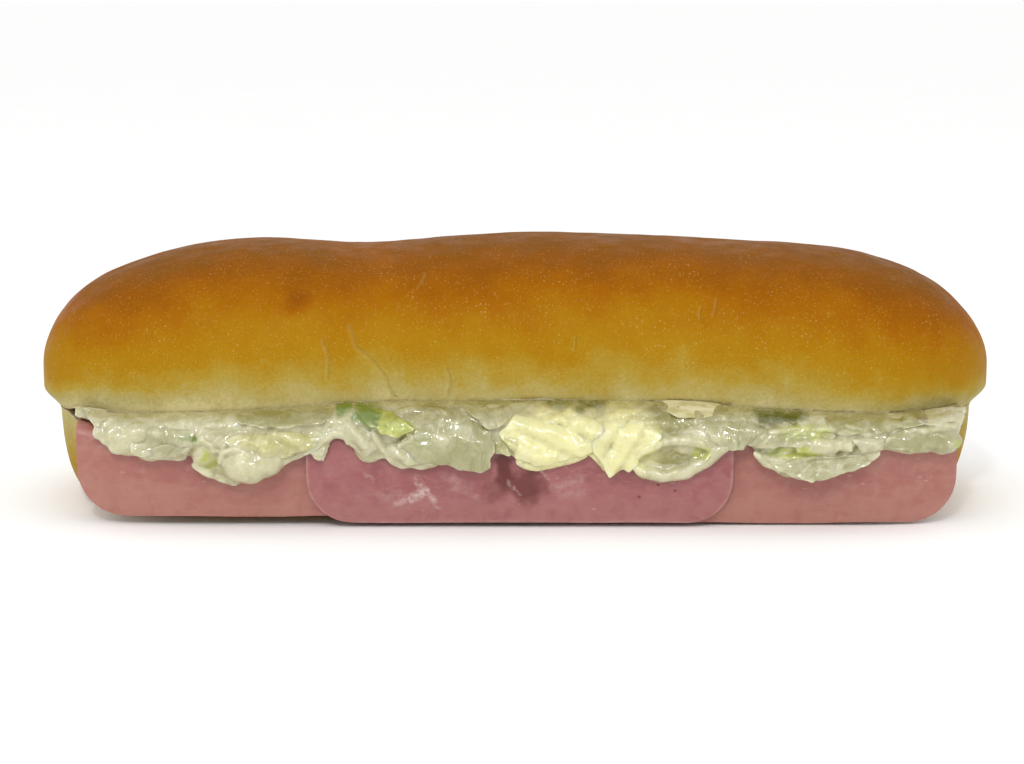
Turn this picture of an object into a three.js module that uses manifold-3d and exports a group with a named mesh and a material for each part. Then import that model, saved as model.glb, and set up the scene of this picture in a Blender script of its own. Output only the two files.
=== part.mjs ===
// A long soft bread roll, cut open along its front and filled with three slices of cooked ham
// and chopped lettuce in mayonnaise. The ham lies on the lower half and hangs down its front,
// and the salad spills out over the ham.
// Millimetres: +X runs along the roll, -Y faces the open front and +Z is up. The shapes are worked
// out about the middle of the roll's base, and the group is moved at the end so that its origin is
// the middle of the footprint.
import * as THREE from "three";
import { mergeVertices } from "three/addons/utils/BufferGeometryUtils.js";
import Module from "manifold-3d";

const { clamp, lerp, smoothstep, degToRad } = THREE.MathUtils;

const gap = 0.3; // free space kept between neighbouring pieces

const roll = {
  halfLength: 103.3,
  halfDepth: 33,
  equator: 34.7, // height of the widest line at mid length, with the roll opened by its filling
  equatorFall: 4.6, // how much lower that line lies at the tips
  crownRise: 22.3, // from the widest line up to the crown
  keelDepth: 38.7, // from the widest line down to where the underside would close, had it no flat base
  crownPower: 2.3, // squareness of the cross-section above the widest line, 2 for an ellipse
  keelPower: 3.2, // and below it
  keelSpacing: 1.3, // spreads the rows of the lower half evenly
  leftEnd: { straight: 60, power: 2.4 },
  rightEnd: { straight: 71.7, power: 1.85 },
  planRound: 0.75, // bluntness of the ends seen from above, 1 for as tapered as from the front
  keelRound: 0.52, // how far the underside rises at the ends, 0 for not at all and 1 as much as the crown falls
  lowerShortening: { share: 0.034, from: 4, to: 9 }, // the lower half is shorter, at depths from and to
  rings: 40,
  sides: 36,
  ringSpacing: 1.3, // closer rings towards the tips
};

// Gentle rises and dips along the crown, each with its place, height and reach.
const crownLumps = [
  { x: -62, height: 0.9, reach: 16 },
  { x: -31, height: -1.1, reach: 15 },
  { x: 9, height: 0.6, reach: 24 },
  { x: 80, height: -0.9, reach: 14 },
];

// The cut: the upper cut face is the roof over the filling, the lower one the bed under it. It gapes
// along the middle and narrows towards the tips.
const cut = {
  hinge: 7, // crust and crumb left uncut at the back
  columns: 30,
  rows: 5,
  roofHeight: 26.1, // at the front, mid length
  roofFall: { height: 2.9, from: 20, to: 78 }, // how it sinks away from mid length
  roofTipRise: { height: 0.8, from: 90, to: 105 },
  bedHeight: 18.2,
  bedTipRise: { height: 3.0, from: 84, to: 102 },
  closing: 0.4, // how much closer each face comes from the front to the back
  beyond: 20, // how far the cutting body reaches past the roll
};

const ham = {
  width: 88.4,
  thickness: 1.5,
  cornerRadius: 9.5,
  fold: 0.3, // share of the way in to the inner edge at which a row of vertices crosses the bed
  lipRadius: 0.7, // how far in from the lip the bend has its centre
  clearOfBread: 0.8, // so that the bend clears the sharp lip of the bread
  endFollow: 0.3, // share of the roll's rounding at its ends that the hanging slices follow
  innerEdge: 12, // how far behind the middle of the bed each slice ends
  tuck: 2.0, // how far the hanging edge turns in
  columns: 16,
};
const hamSlices = [
  { name: "ham_left", centre: -47.6, layer: 0, hem: 1.8 },
  { name: "ham_right", centre: 47.8, layer: 0, hem: 0.3 },
  { name: "ham_middle", centre: 0.6, layer: 1, hem: 0.8 },
];

const salad = {
  middle: 2,
  halfLength: 92.5,
  innerEdge: 10,
  bulge: 3.6, // how thick it stands on the hanging ham
  hem: 17, // usual height of its lower edge
  endReach: 0.45, // share of its usual hang that it has at its two ends
  columns: 38,
  rows: [-1, -0.45, -0.1, 0, 0.2, 0.4, 0.62, 0.84, 1], // -1 at the inner edge, 0 at the bend, 1 at the hem
  ripples: [0.5, 0.4], // heights of the shorter and the longer ripples of its surface
  clear: 0.15, // more space than the gap, for the faces that the cut leaves alone
  evenness: 0.06, // bumps smaller than this are smoothed away
};

// Where the lower edge of the salad hangs lower or is drawn up, with the reach along the roll.
const hemLobes = [
  { x: -57, height: -5.0, reach: 8 },
  { x: -37, height: 2.6, reach: 2.6 },
  { x: -22, height: -1.6, reach: 14 },
  { x: -4.5, height: 1.6, reach: 2.4 },
  { x: 6, height: -2.0, reach: 5 },
  { x: 21, height: -3.6, reach: 7 },
  { x: 33, height: -2.8, reach: 7 },
  { x: 46, height: 2.2, reach: 4 },
  { x: 60, height: -4.0, reach: 9 },
  { x: 71, height: -1.6, reach: 6 },
];

// Lettuce pieces that show at the front: middle of the piece along X and up Z, its distance out from
// the ham, its length and height, its turn in the front plane, its lean and how far it is cupped.
const leaves = [
  { x: -87.3, z: 23.2, out: 1.5, length: 11, height: 4.0, turn: -35, lean: 0, cup: 0.4 },
  { x: -71.7, z: 18.2, out: 3.0, length: 14, height: 7.5, turn: 6, lean: -12, cup: 0.8 },
  { x: -48.3, z: 20.2, out: 4.2, length: 23, height: 8.5, turn: 14, lean: -15, cup: -0.8 },
  { x: -40.8, z: 17.4, out: 3.4, length: 4.5, height: 7.0, turn: 16, lean: 0, cup: 0.3 },
  { x: -30.2, z: 23.2, out: 3.6, length: 10, height: 4.5, turn: -28, lean: 10, cup: 0.5 },
  { x: -23.4, z: 21.8, out: 4.4, length: 9, height: 4.5, turn: -10, lean: 0, cup: 0.6 },
  { x: -18.9, z: 18.0, out: 3.6, length: 12, height: 9.5, turn: 4, lean: -8, cup: 0.6 },
  { x: -9.6, z: 18.0, out: 4.4, length: 12, height: 12, turn: -12, lean: -6, cup: 0.5 },
  { x: -6.4, z: 23.2, out: 5.0, length: 10, height: 4.6, turn: -25, lean: 8, cup: 0.3 },
  { x: -2.4, z: 18.0, out: 3.0, length: 6, height: 7.0, turn: -38, lean: 0, cup: 0.4 },
  { x: 7.0, z: 18.8, out: 4.8, length: 22, height: 11, turn: 4, lean: -14, cup: -1.6 },
  { x: 19.4, z: 17.6, out: 5.0, length: 10, height: 12.5, turn: 20, lean: -8, cup: -1.2 },
  { x: 25.6, z: 20.0, out: 4.6, length: 11, height: 8.5, turn: 40, lean: -10, cup: -0.9 },
  { x: 31.9, z: 16.2, out: 3.6, length: 21, height: 9.5, turn: 6, lean: 10, cup: 2.0 },
  { x: 34.5, z: 23.0, out: 3.4, length: 19, height: 5.0, turn: 2, lean: 10, cup: 0.5 },
  { x: 45.0, z: 20.8, out: 3.4, length: 13, height: 7.5, turn: 8, lean: 0, cup: 0.6 },
  { x: 55.8, z: 22.6, out: 3.0, length: 17, height: 4.6, turn: 0, lean: 14, cup: 0.5 },
  { x: 62.7, z: 15.6, out: 4.4, length: 27, height: 8.5, turn: 8, lean: 22, cup: 2.2 },
  { x: 76.2, z: 19.6, out: 3.4, length: 17, height: 8.5, turn: 10, lean: -6, cup: 0.9 },
  { x: 87.6, z: 19.4, out: 2.6, length: 12, height: 7.5, turn: -6, lean: -8, cup: 0.8 },
  { x: 89.5, z: 23.6, out: 1.6, length: 9, height: 4.4, turn: -20, lean: 0, cup: 0.6 },
];
const leaf = { thickness: 1.5, wave: 0.55, across: 5, up: 3 };
const lump = { around: 10, rings: 7, uneven: 0.08 };

// Rounded lumps of mayonnaise: middle, distance out from the ham, and the three radii.
const lumps = [
  { x: -85.0, z: 19.4, out: 1.6, size: [2.8, 2.6, 2.8] },
  { x: -79.4, z: 19.4, out: 1.9, size: [5.0, 3.2, 4.6] },
  { x: -64.6, z: 15.6, out: 1.8, size: [3.6, 2.9, 4.2] },
  { x: -56.2, z: 14.9, out: 2.2, size: [6.8, 3.6, 5.6] },
  { x: -30.6, z: 17.8, out: 1.9, size: [4.2, 2.8, 4.0] },
  { x: 13.6, z: 19.6, out: 4.4, size: [5.4, 2.8, 3.6] },
  { x: 61.4, z: 18.6, out: 3.2, size: [6.0, 2.8, 3.2] },
  { x: 82.0, z: 21.2, out: 1.8, size: [4.6, 2.6, 2.8] },
];

// Roundness of the ends at a place along the roll: 1 over the straight middle, 0 at a tip.
function taper(x) {
  const end = x < 0 ? roll.leftEnd : roll.rightEnd;
  const share = clamp((Math.abs(x) - end.straight) / (roll.halfLength - end.straight), 0, 1);
  return (1 - share ** end.power) ** (1 / end.power);
}

// Half the roll's width at its widest line.
function planDepth(x) {
  return roll.halfDepth * taper(x) ** roll.planRound;
}

function keelAt(x) {
  return roll.keelDepth * taper(x) ** roll.keelRound;
}

function equatorAt(x) {
  return roll.equator - roll.equatorFall * (x / roll.halfLength) ** 2;
}

// The sum of rounded swellings, each with its place, height and reach, at a place along the roll.
function swellings(list, x) {
  return list.reduce((sum, l) => sum + l.height * Math.exp(-(((x - l.x) / l.reach) ** 2)), 0);
}

// Share of the upper half's length that the roll keeps at a depth below its widest line.
function lengthShare(depth) {
  const { share, from, to } = roll.lowerShortening;
  return 1 - share * smoothstep(depth, from, to);
}

// A point of the crust: along is -1 to 1 from tip to tip, side is -1 at the front and 1 at the back,
// and angle goes from the underside at -90 degrees over the widest line at 0 to the crown at 90.
function crustPoint(along, side, angle, grow) {
  const x = roll.halfLength * along;
  const up = angle > 0;
  const power = up ? roll.crownPower : roll.keelPower;
  const crown = (roll.crownRise + swellings(crownLumps, x)) * taper(x);
  const rise = up ? crown : keelAt(x);
  const quarter = Math.abs(angle) / (Math.PI / 2);
  const even = up ? Math.abs(angle) : (Math.PI / 2) * quarter ** roll.keelSpacing;
  const y = side * (planDepth(x) + grow) * Math.max(Math.cos(even), 0) ** (2 / power);
  const lift = (rise + grow) * Math.sign(angle) * Math.sin(even) ** (2 / power);
  const z = Math.max(equatorAt(x) + lift, -grow);
  return new THREE.Vector3(x * lengthShare(-lift) + grow * along, y, z);
}

// Distance of the crust from the roll's middle plane, at a place along it and a height below the widest line.
function crustDepth(x, z) {
  const unshortened = x / lengthShare(equatorAt(x) - z);
  const down = clamp((equatorAt(unshortened) - z) / Math.max(keelAt(unshortened), gap), 0, 1);
  return planDepth(unshortened) * (1 - down ** roll.keelPower) ** (1 / roll.keelPower);
}

function stepAlong(x, step) {
  return step.height * smoothstep(Math.abs(x), step.from, step.to);
}

function closingAt(y) {
  return (cut.closing * (y + roll.halfDepth)) / (2 * roll.halfDepth);
}

function roofAt(x, y) {
  return cut.roofHeight - stepAlong(x, cut.roofFall) + stepAlong(x, cut.roofTipRise) - closingAt(y);
}

function bedAt(x, y) {
  return cut.bedHeight + stepAlong(x, cut.bedTipRise) + closingAt(y);
}

// The centre of the bend that a sheet makes over the lip of the lower half. A stiff sheet follows the
// rounded ends of the lip only in part.
function bendAt(x) {
  const lip = lerp(roll.halfDepth, crustDepth(x, bedAt(x, -roll.halfDepth)), ham.endFollow);
  const y = ham.lipRadius - lip;
  return { y, z: bedAt(x, y) - ham.lipRadius };
}

function bendLength(off) {
  return ((ham.lipRadius + off) * Math.PI) / 2;
}

// A point over the bed and down the front of the lower half. Run is the distance from the start of
// the bend, negative over the bed and positive down the front, and off is the distance from the bread.
function drape(x, run, off) {
  const bend = bendAt(x);
  const radius = ham.lipRadius + off;
  if (run <= 0) return new THREE.Vector3(x, bend.y - run, bedAt(x, bend.y - run) + off);
  if (run < bendLength(off)) {
    const angle = run / radius;
    return new THREE.Vector3(x, bend.y - radius * Math.sin(angle), bend.z + radius * Math.cos(angle));
  }
  const drop = run - bendLength(off);
  const turnedIn = ham.tuck * (drop / bend.z) ** 2;
  return new THREE.Vector3(x, bend.y - radius + turnedIn, bend.z - drop);
}

// The run at which the draped path reaches a height on the front.
function runTo(x, z, off) {
  return bendLength(off) + bendAt(x).z - z;
}

function moveVertices(geometry, move) {
  const position = geometry.getAttribute("position");
  const p = new THREE.Vector3();
  for (let i = 0; i < position.count; i++) {
    p.fromBufferAttribute(position, i);
    const q = move(p);
    position.setXYZ(i, q.x, q.y, q.z);
  }
  return geometry;
}

// A unit slab of grid cells whose two broad faces are split into triangles alike.
function slab(columns, rows) {
  const geometry = new THREE.BoxGeometry(1, 1, 1, columns, rows, 1);
  const index = geometry.index;
  const backFace = geometry.groups[5];
  for (let i = backFace.start; i < backFace.start + backFace.count; i += 6) {
    const [a, b, d, c] = [index.getX(i), index.getX(i + 1), index.getX(i + 2), index.getX(i + 4)];
    [a, b, c, a, c, d].forEach((corner, k) => index.setX(i + k, corner));
  }
  return geometry;
}

const wasm = await Module();
wasm.setup();

function solidOf(geometry) {
  const bare = geometry.clone();
  bare.deleteAttribute("normal");
  bare.deleteAttribute("uv");
  const merged = mergeVertices(bare, 1e-4);
  return new wasm.Manifold(
    new wasm.Mesh({
      numProp: 3,
      vertProperties: merged.getAttribute("position").array,
      triVerts: new Uint32Array(merged.index.array),
    }),
  );
}

function geometryOf(solid) {
  const mesh = solid.getMesh();
  return new THREE.BufferGeometry()
    .setAttribute("position", new THREE.BufferAttribute(mesh.vertProperties, 3))
    .setIndex(new THREE.BufferAttribute(mesh.triVerts, 1));
}

// The opened roll, or with grow the space that its neighbours keep clear of.
function rollSolid(grow = 0) {
  const sphere = new THREE.SphereGeometry(1, roll.sides, roll.rings);
  const outside = moveVertices(sphere, (p) => {
    const along = Math.sign(p.y) * (1 - (1 - Math.abs(p.y)) ** roll.ringSpacing);
    return crustPoint(along, -Math.sign(p.x), Math.atan2(p.z, Math.abs(p.x)), grow);
  });
  const length = roll.halfLength + cut.beyond;
  const opening = moveVertices(new THREE.BoxGeometry(1, 1, 1, cut.columns, cut.rows, 1), (p) => {
    const x = 2 * p.x * length;
    const back = planDepth(x) - cut.hinge - grow;
    const y = lerp(-roll.halfDepth - cut.beyond, back, p.y + 0.5);
    const z = p.z > 0 ? roofAt(x, y) - grow : bedAt(x, y) + grow;
    return new THREE.Vector3(x, y, z);
  });
  return solidOf(outside).subtract(solidOf(opening));
}

// Rows of a ham slice from its inner edge, over the bend, to its hanging edge, closer at the corners.
const cornerShares = [0, 0.12, 0.35, 0.68, 1];

function hamRows(x, hem, off) {
  const start = bendAt(x).y - ham.innerEdge;
  const end = runTo(x, hem, off);
  const corner = cornerShares.map((share) => share * ham.cornerRadius);
  const bend = [0, 0.25, 0.5, 0.75, 1].map((share) => share * bendLength(off));
  return [...corner.map((c) => start + c), start * ham.fold, ...bend, ...corner.map((c) => end - c).reverse()];
}

// A slice of ham, or with grow the space that the salad keeps clear of.
function hamSolid(slice, grow = 0) {
  const under = ham.clearOfBread + slice.layer * (ham.thickness + gap);
  const lastRow = hamRows(slice.centre, slice.hem, under).length - 1;
  const sheet = moveVertices(slab(ham.columns, lastRow), (p) => {
    const row = Math.round((0.5 - p.y) * lastRow);
    const inset = ham.cornerRadius * (1 - (cornerShares[Math.min(row, lastRow - row)] ?? 1));
    const halfWidth = ham.width / 2 - ham.cornerRadius + Math.sqrt(ham.cornerRadius ** 2 - inset ** 2);
    const x = slice.centre + 2 * p.x * (halfWidth + grow);
    const off = under + (p.z + 0.5) * ham.thickness + 2 * p.z * grow;
    return drape(x, hamRows(x, slice.hem, under)[row] - Math.sign(p.y) * grow, off);
  });
  return solidOf(sheet);
}

const overHam = ham.clearOfBread + ham.thickness + gap;

// The bed of dressed salad between the ham and the roof, with its spill over the front.
function saladCore() {
  const lastRow = salad.rows.length - 1;
  return moveVertices(slab(salad.columns, lastRow), (p) => {
    const x = salad.middle + 2 * p.x * salad.halfLength;
    const share = salad.rows[Math.round((0.5 - p.y) * lastRow)];
    const edge = Math.sqrt(Math.max(0, 1 - (2 * p.x) ** 6));
    const wanted = runTo(x, salad.hem + swellings(hemLobes, x), overHam);
    const reach = share < 0 ? salad.innerEdge * edge - bendAt(x).y : wanted * lerp(salad.endReach, 1, edge);
    const run = share * reach;
    const swell = salad.bulge * (0.35 + 0.65 * edge) * Math.sqrt(1 - 0.9 * Math.max(share, 0) ** 2);
    const [short, long] = salad.ripples;
    const ripple = short * Math.sin(x * 0.9 + share * 5) + long * Math.sin(x * 0.37 - share * 7);
    const off = overHam + salad.clear + (p.z > 0 ? swell + ripple : 0);
    const point = drape(x, run, off);
    point.z = Math.min(point.z, roofAt(x, point.y) - gap - salad.clear);
    return point;
  });
}

// Puts a piece that is modelled facing the front where it lies on the spill.
function placeOnFront(geometry, piece) {
  const face = drape(piece.x, runTo(piece.x, piece.z, overHam), overHam);
  const turned = new THREE.Euler(degToRad(piece.lean ?? 0), degToRad(-piece.turn || 0), 0, "YXZ");
  const place = new THREE.Matrix4().makeRotationFromEuler(turned);
  place.setPosition(piece.x, face.y - piece.out, piece.z);
  return geometry.applyMatrix4(place);
}

// A thin wavy piece of lettuce with a rounded outline, its length along X and its height along Z.
function leafPiece(piece, order) {
  const sheet = moveVertices(slab(leaf.across, leaf.up), (p) => {
    const [u, v] = [2 * p.x, 2 * p.y];
    const roundU = u * Math.sqrt(1 - (v * v) / 2);
    const roundV = v * Math.sqrt(1 - (u * u) / 2);
    const wave = leaf.wave * Math.sin(2.6 * u + order * 1.9) * Math.cos(2.1 * v + order * 0.7);
    const thickness = leaf.thickness * (1 - 0.45 * Math.max(u * u, v * v));
    const y = -p.z * thickness - piece.cup * (roundU ** 2 + roundV ** 2 - 0.8) + wave;
    return new THREE.Vector3((roundU * piece.length) / 2, y, (roundV * piece.height) / 2);
  });
  return placeOnFront(sheet, piece);
}

function lumpPiece(piece, order) {
  const ball = moveVertices(new THREE.SphereGeometry(1, lump.around, lump.rings), (p) => {
    const uneven = 1 + lump.uneven * Math.sin(3 * p.x + order) * Math.cos(2.5 * p.z + order);
    return new THREE.Vector3(...piece.size).multiply(p).multiplyScalar(uneven);
  });
  return placeOnFront(ball, piece);
}

// All the salad as one solid, cut back from the bread and the ham. Loose scraps are dropped.
function saladSolid() {
  const pieces = [...leaves.map(leafPiece), ...lumps.map(lumpPiece)].map(solidOf);
  const whole = pieces.reduce((sum, piece) => sum.add(piece), solidOf(saladCore()));
  const neighbours = hamSlices.map((slice) => hamSolid(slice, gap));
  const fitted = [rollSolid(gap), ...neighbours].reduce((rest, n) => rest.subtract(n), whole);
  return fitted.decompose().sort((a, b) => b.volume() - a.volume())[0].simplify(salad.evenness);
}

const looks = {
  crust: { color: 0xb9781f, roughness: 0.5 },
  ham: { color: 0xb87c74, roughness: 0.42 },
  salad: { color: 0xd2d0a0, roughness: 0.25 },
};

function addPiece(group, name, solid, look) {
  const mesh = new THREE.Mesh(geometryOf(solid), new THREE.MeshStandardMaterial({ ...look, metalness: 0 }));
  mesh.name = name;
  group.add(mesh);
}

const sandwich = new THREE.Group();
addPiece(sandwich, "roll", rollSolid(), looks.crust);
for (const slice of hamSlices) addPiece(sandwich, slice.name, hamSolid(slice), looks.ham);
addPiece(sandwich, "salad", saladSolid(), looks.salad);

const footprint = new THREE.Box3().setFromObject(sandwich);
const middle = footprint.getCenter(new THREE.Vector3());
for (const mesh of sandwich.children) mesh.position.set(-middle.x, -middle.y, -footprint.min.z);

export default sandwich;
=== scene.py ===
# a long soft bread roll, cut open along its front, with draped ham slices and dressed lettuce
# shapes are worked out in millimetres about the middle of the roll's base, then placed in metres
import math
from functools import lru_cache

import bmesh
import bpy
from mathutils import Matrix, Vector, noise


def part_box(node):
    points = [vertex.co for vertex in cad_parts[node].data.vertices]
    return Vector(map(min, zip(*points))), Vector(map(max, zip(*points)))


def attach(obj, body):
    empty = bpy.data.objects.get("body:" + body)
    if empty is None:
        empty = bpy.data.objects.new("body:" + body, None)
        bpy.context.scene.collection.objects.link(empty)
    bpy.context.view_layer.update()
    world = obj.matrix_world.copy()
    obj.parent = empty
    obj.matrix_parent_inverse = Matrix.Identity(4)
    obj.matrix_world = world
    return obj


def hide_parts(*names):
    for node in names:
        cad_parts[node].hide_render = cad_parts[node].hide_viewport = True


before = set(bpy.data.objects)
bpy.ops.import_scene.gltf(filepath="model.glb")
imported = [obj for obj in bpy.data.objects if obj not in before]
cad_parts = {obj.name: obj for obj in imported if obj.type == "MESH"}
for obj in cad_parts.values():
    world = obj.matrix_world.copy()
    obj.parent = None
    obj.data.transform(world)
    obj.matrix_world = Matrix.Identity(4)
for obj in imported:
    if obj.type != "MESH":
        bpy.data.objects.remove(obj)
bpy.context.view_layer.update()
rollLow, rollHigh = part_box("roll")
rollMiddle = Vector(((rollLow.x + rollHigh.x) / 2, (rollLow.y + rollHigh.y) / 2, rollLow.z))
toFrame = Matrix.Translation(rollMiddle) @ Matrix.Scale(0.001, 4)


# shapes shared by the pieces, the same formulas as the solids

roll = {
    "halfLength": 103.3, "halfDepth": 33, "equator": 34.7, "equatorFall": 4.6,
    "crownRise": 22.3, "keelDepth": 38.7, "crownPower": 2.3, "keelPower": 3.2, "keelSpacing": 1.3,
    "leftStraight": 60, "leftPower": 2.4, "rightStraight": 71.7, "rightPower": 1.85,
    "planRound": 0.75, "keelRound": 0.52, "shorter": 0.034, "shorterFrom": 4, "shorterTo": 9,
    "ringSpacing": 1.3, "rings": 300, "sides": 232,
    "baseRound": 0.9,       # how softly the sides turn into the flat base
    "dimples": (0.32, 0.1),  # depth of the long and the short unevenness of the crust
    "crumbRelief": 0.45,
}
crownLumps = [(-62, 0.9, 16), (-31, -1.1, 15), (9, 0.6, 24), (80, -0.9, 14)]  # place, height, reach
cut = {
    "hinge": 7, "roofHeight": 26.1, "roofFall": (2.9, 20, 78), "roofTipRise": (0.8, 90, 105),
    "bedHeight": 18.2, "bedTipRise": (3.0, 84, 102), "closing": 0.4,
    "lipRound": 0.6,        # radius of the rounded lips
    "waviness": (0.35, 0.24),
}
ham = {
    "width": 88.4, "thickness": 1.5, "cornerRadius": 9.5, "lipRadius": 0.7, "clearOfBread": 0.8,
    "endFollow": 0.3, "innerEdge": 12, "tuck": 2.0, "gap": 0.3,
    "rimRound": 0.55,       # how rounded the cut edge is
    "waviness": 0.16,
}
overHam = ham["clearOfBread"] + ham["thickness"] + ham["gap"]


def clamp(value, low=0.0, high=1.0):
    return max(low, min(high, value))


def lerp(a, b, share):
    return a + (b - a) * share


def smoothstep(value, start, end):
    share = clamp((value - start) / (end - start))
    return share * share * (3 - 2 * share)


def swellings(places, x):
    return sum(height * math.exp(-((x - at) / reach) ** 2) for at, height, reach in places)


def taper(x):
    side = "left" if x < 0 else "right"
    straight, power = roll[side + "Straight"], roll[side + "Power"]
    share = clamp((abs(x) - straight) / (roll["halfLength"] - straight))
    return (1 - share ** power) ** (1 / power)


def planDepth(x):
    return roll["halfDepth"] * taper(x) ** roll["planRound"]


def keelAt(x):
    return roll["keelDepth"] * taper(x) ** roll["keelRound"]


def equatorAt(x):
    return roll["equator"] - roll["equatorFall"] * (x / roll["halfLength"]) ** 2


def lengthShare(depth):
    return 1 - roll["shorter"] * smoothstep(depth, roll["shorterFrom"], roll["shorterTo"])


def crustPoint(along, side, angle):
    x = roll["halfLength"] * along
    up = angle > 0
    power = roll["crownPower"] if up else roll["keelPower"]
    rise = (roll["crownRise"] + swellings(crownLumps, x)) * taper(x) if up else keelAt(x)
    quarter = abs(angle) / (math.pi / 2)
    even = abs(angle) if up else math.pi / 2 * quarter ** roll["keelSpacing"]
    y = side * planDepth(x) * max(math.cos(even), 0) ** (2 / power)
    lift = rise * math.sin(even) ** (2 / power) * (1 if up else -1)
    low = equatorAt(x) + lift
    z = (low + math.sqrt(low * low + roll["baseRound"] ** 2)) / 2
    return Vector((x * lengthShare(-lift), y, z))


def crustDepth(x, z):
    whole = clamp(x / lengthShare(equatorAt(x) - z), -roll["halfLength"], roll["halfLength"])
    down = clamp((equatorAt(whole) - z) / max(keelAt(whole), 0.3))
    return planDepth(whole) * (1 - down ** roll["keelPower"]) ** (1 / roll["keelPower"])


def stepAlong(x, step):
    return step[0] * smoothstep(abs(x), step[1], step[2])


def closingAt(y):
    return cut["closing"] * (y + roll["halfDepth"]) / (2 * roll["halfDepth"])


def roofAt(x, y):
    return cut["roofHeight"] - stepAlong(x, cut["roofFall"]) + stepAlong(x, cut["roofTipRise"]) - closingAt(y)


def bedAt(x, y):
    return cut["bedHeight"] + stepAlong(x, cut["bedTipRise"]) + closingAt(y)


@lru_cache(maxsize=None)
def bendAt(x):
    lip = lerp(roll["halfDepth"], crustDepth(x, bedAt(x, -roll["halfDepth"])), ham["endFollow"])
    y = ham["lipRadius"] - lip
    return y, bedAt(x, y) - ham["lipRadius"]


def drape(x, run, off):  # over the bed, round its lip and down the front, off millimetres from the bread
    bendY, bendZ = bendAt(x)
    radius = ham["lipRadius"] + off
    if run <= 0:
        return Vector((x, bendY - run, bedAt(x, bendY - run) + off))
    length = radius * math.pi / 2
    if run < length:
        return Vector((x, bendY - radius * math.sin(run / radius), bendZ + radius * math.cos(run / radius)))
    drop = run - length
    return Vector((x, bendY - radius + ham["tuck"] * (drop / bendZ) ** 2, bendZ - drop))


def runTo(x, z, off):
    return (ham["lipRadius"] + off) * math.pi / 2 + bendAt(x)[1] - z


def wander(point, size, seed=0.0):  # smooth noise from -1 to 1, features of that many millimetres
    return noise.noise(Vector(point) / size + Vector((seed, seed * 1.7, -seed)))


# building helpers

def addSlab(bm, columns, rows):  # a closed unit slab: x and y from -1 to 1, z 0 below and 1 above
    made = bmesh.ops.create_grid(bm, x_segments=columns, y_segments=rows, size=1)["verts"]
    faces = list({face for vert in made for face in vert.link_faces})
    grown = bmesh.ops.extrude_face_region(bm, geom=faces)["geom"]
    upper = [item for item in grown if isinstance(item, bmesh.types.BMVert)]
    bmesh.ops.translate(bm, vec=(0, 0, 1), verts=upper)
    return made + upper


def newObject(name, bm, materials):
    bmesh.ops.recalc_face_normals(bm, faces=bm.faces)
    mesh = bpy.data.meshes.new(name)
    bm.to_mesh(mesh)
    bm.free()
    for material in materials:
        mesh.materials.append(material)
    made = bpy.data.objects.new(name, mesh)
    bpy.context.scene.collection.objects.link(made)
    return made


def applyModifiers(piece):
    graph = bpy.context.evaluated_depsgraph_get()
    done = bpy.data.meshes.new_from_object(piece.evaluated_get(graph))
    piece.modifiers.clear()
    old, piece.data = piece.data, done
    bpy.data.meshes.remove(old)


def finishPiece(piece, replaced):  # from millimetres to its place in the frame
    piece.data.transform(toFrame)
    piece.data.shade_smooth()
    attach(piece, "root")
    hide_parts(replaced)
    triangles = sum(len(face.vertices) - 2 for face in piece.data.polygons)
    print(f"{piece.name}: {triangles} triangles")
    return piece


# material helpers

def addNode(tree, kind, settings=None, inputs=None):
    node = tree.nodes.new("ShaderNode" + kind)
    for key, value in (settings or {}).items():
        setattr(node, key, value)
    for key, value in (inputs or {}).items():
        if isinstance(value, bpy.types.NodeSocket):
            tree.links.new(value, node.inputs[key])
        else:
            node.inputs[key].default_value = value
    return node


def calc(tree, operation, a, b=0.0, c=0.0, clampIt=False):
    node = addNode(tree, "Math", {"operation": operation, "use_clamp": clampIt}, {0: a, 1: b, 2: c})
    return node.outputs[0]


def fade(tree, value, start, end, low=0.0, high=1.0):  # smooth step from low to high
    inputs = {"Value": value, "From Min": start, "From Max": end, "To Min": low, "To Max": high}
    return addNode(tree, "MapRange", {"interpolation_type": "SMOOTHSTEP"}, inputs).outputs["Result"]


def blendColours(tree, share, first, second, mode="MIX"):
    node = addNode(tree, "Mix", {"data_type": "RGBA", "blend_type": mode})
    for socket, value in ((node.inputs[0], share), (node.inputs[6], first), (node.inputs[7], second)):
        if isinstance(value, bpy.types.NodeSocket):
            tree.links.new(value, socket)
        else:
            socket.default_value = (*value, 1) if isinstance(value, (tuple, list)) else value
    return node.outputs[2]


def noiseValue(tree, point, size, detail=3.0, rough=0.5, distort=0.0):
    inputs = {"Vector": point, "Scale": 1 / size, "Detail": detail, "Roughness": rough, "Distortion": distort}
    return addNode(tree, "TexNoise", None, inputs).outputs[0]


def stretched(tree, point, scale, turn=(0, 0, 0)):
    return addNode(tree, "Mapping", None, {"Vector": point, "Scale": scale, "Rotation": turn}).outputs[0]


def colourRamp(tree, value, stops):
    node = addNode(tree, "ValToRGB", None, {"Fac": value})
    ramp = node.color_ramp
    while len(ramp.elements) < len(stops):
        ramp.elements.new(0.5)
    for element, (place, colour) in zip(ramp.elements, stops):
        element.position = place
        element.color = (*colour, 1)
    return node.outputs[0]


def newMaterial(name, settings):
    material = bpy.data.materials.new(name)
    material.use_nodes = True
    tree = material.node_tree
    tree.nodes.clear()
    output = tree.nodes.new("ShaderNodeOutputMaterial")
    shader = addNode(tree, "BsdfPrincipled", None, settings)
    tree.links.new(shader.outputs[0], output.inputs["Surface"])
    where = addNode(tree, "TexCoord").outputs["Object"]
    place = {"Vector": where, "Location": tuple(-rollMiddle * 1000), "Scale": (1000, 1000, 1000)}
    point = addNode(tree, "Mapping", None, place).outputs[0]  # millimetres from the roll's middle
    return material, tree, shader, point


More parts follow.
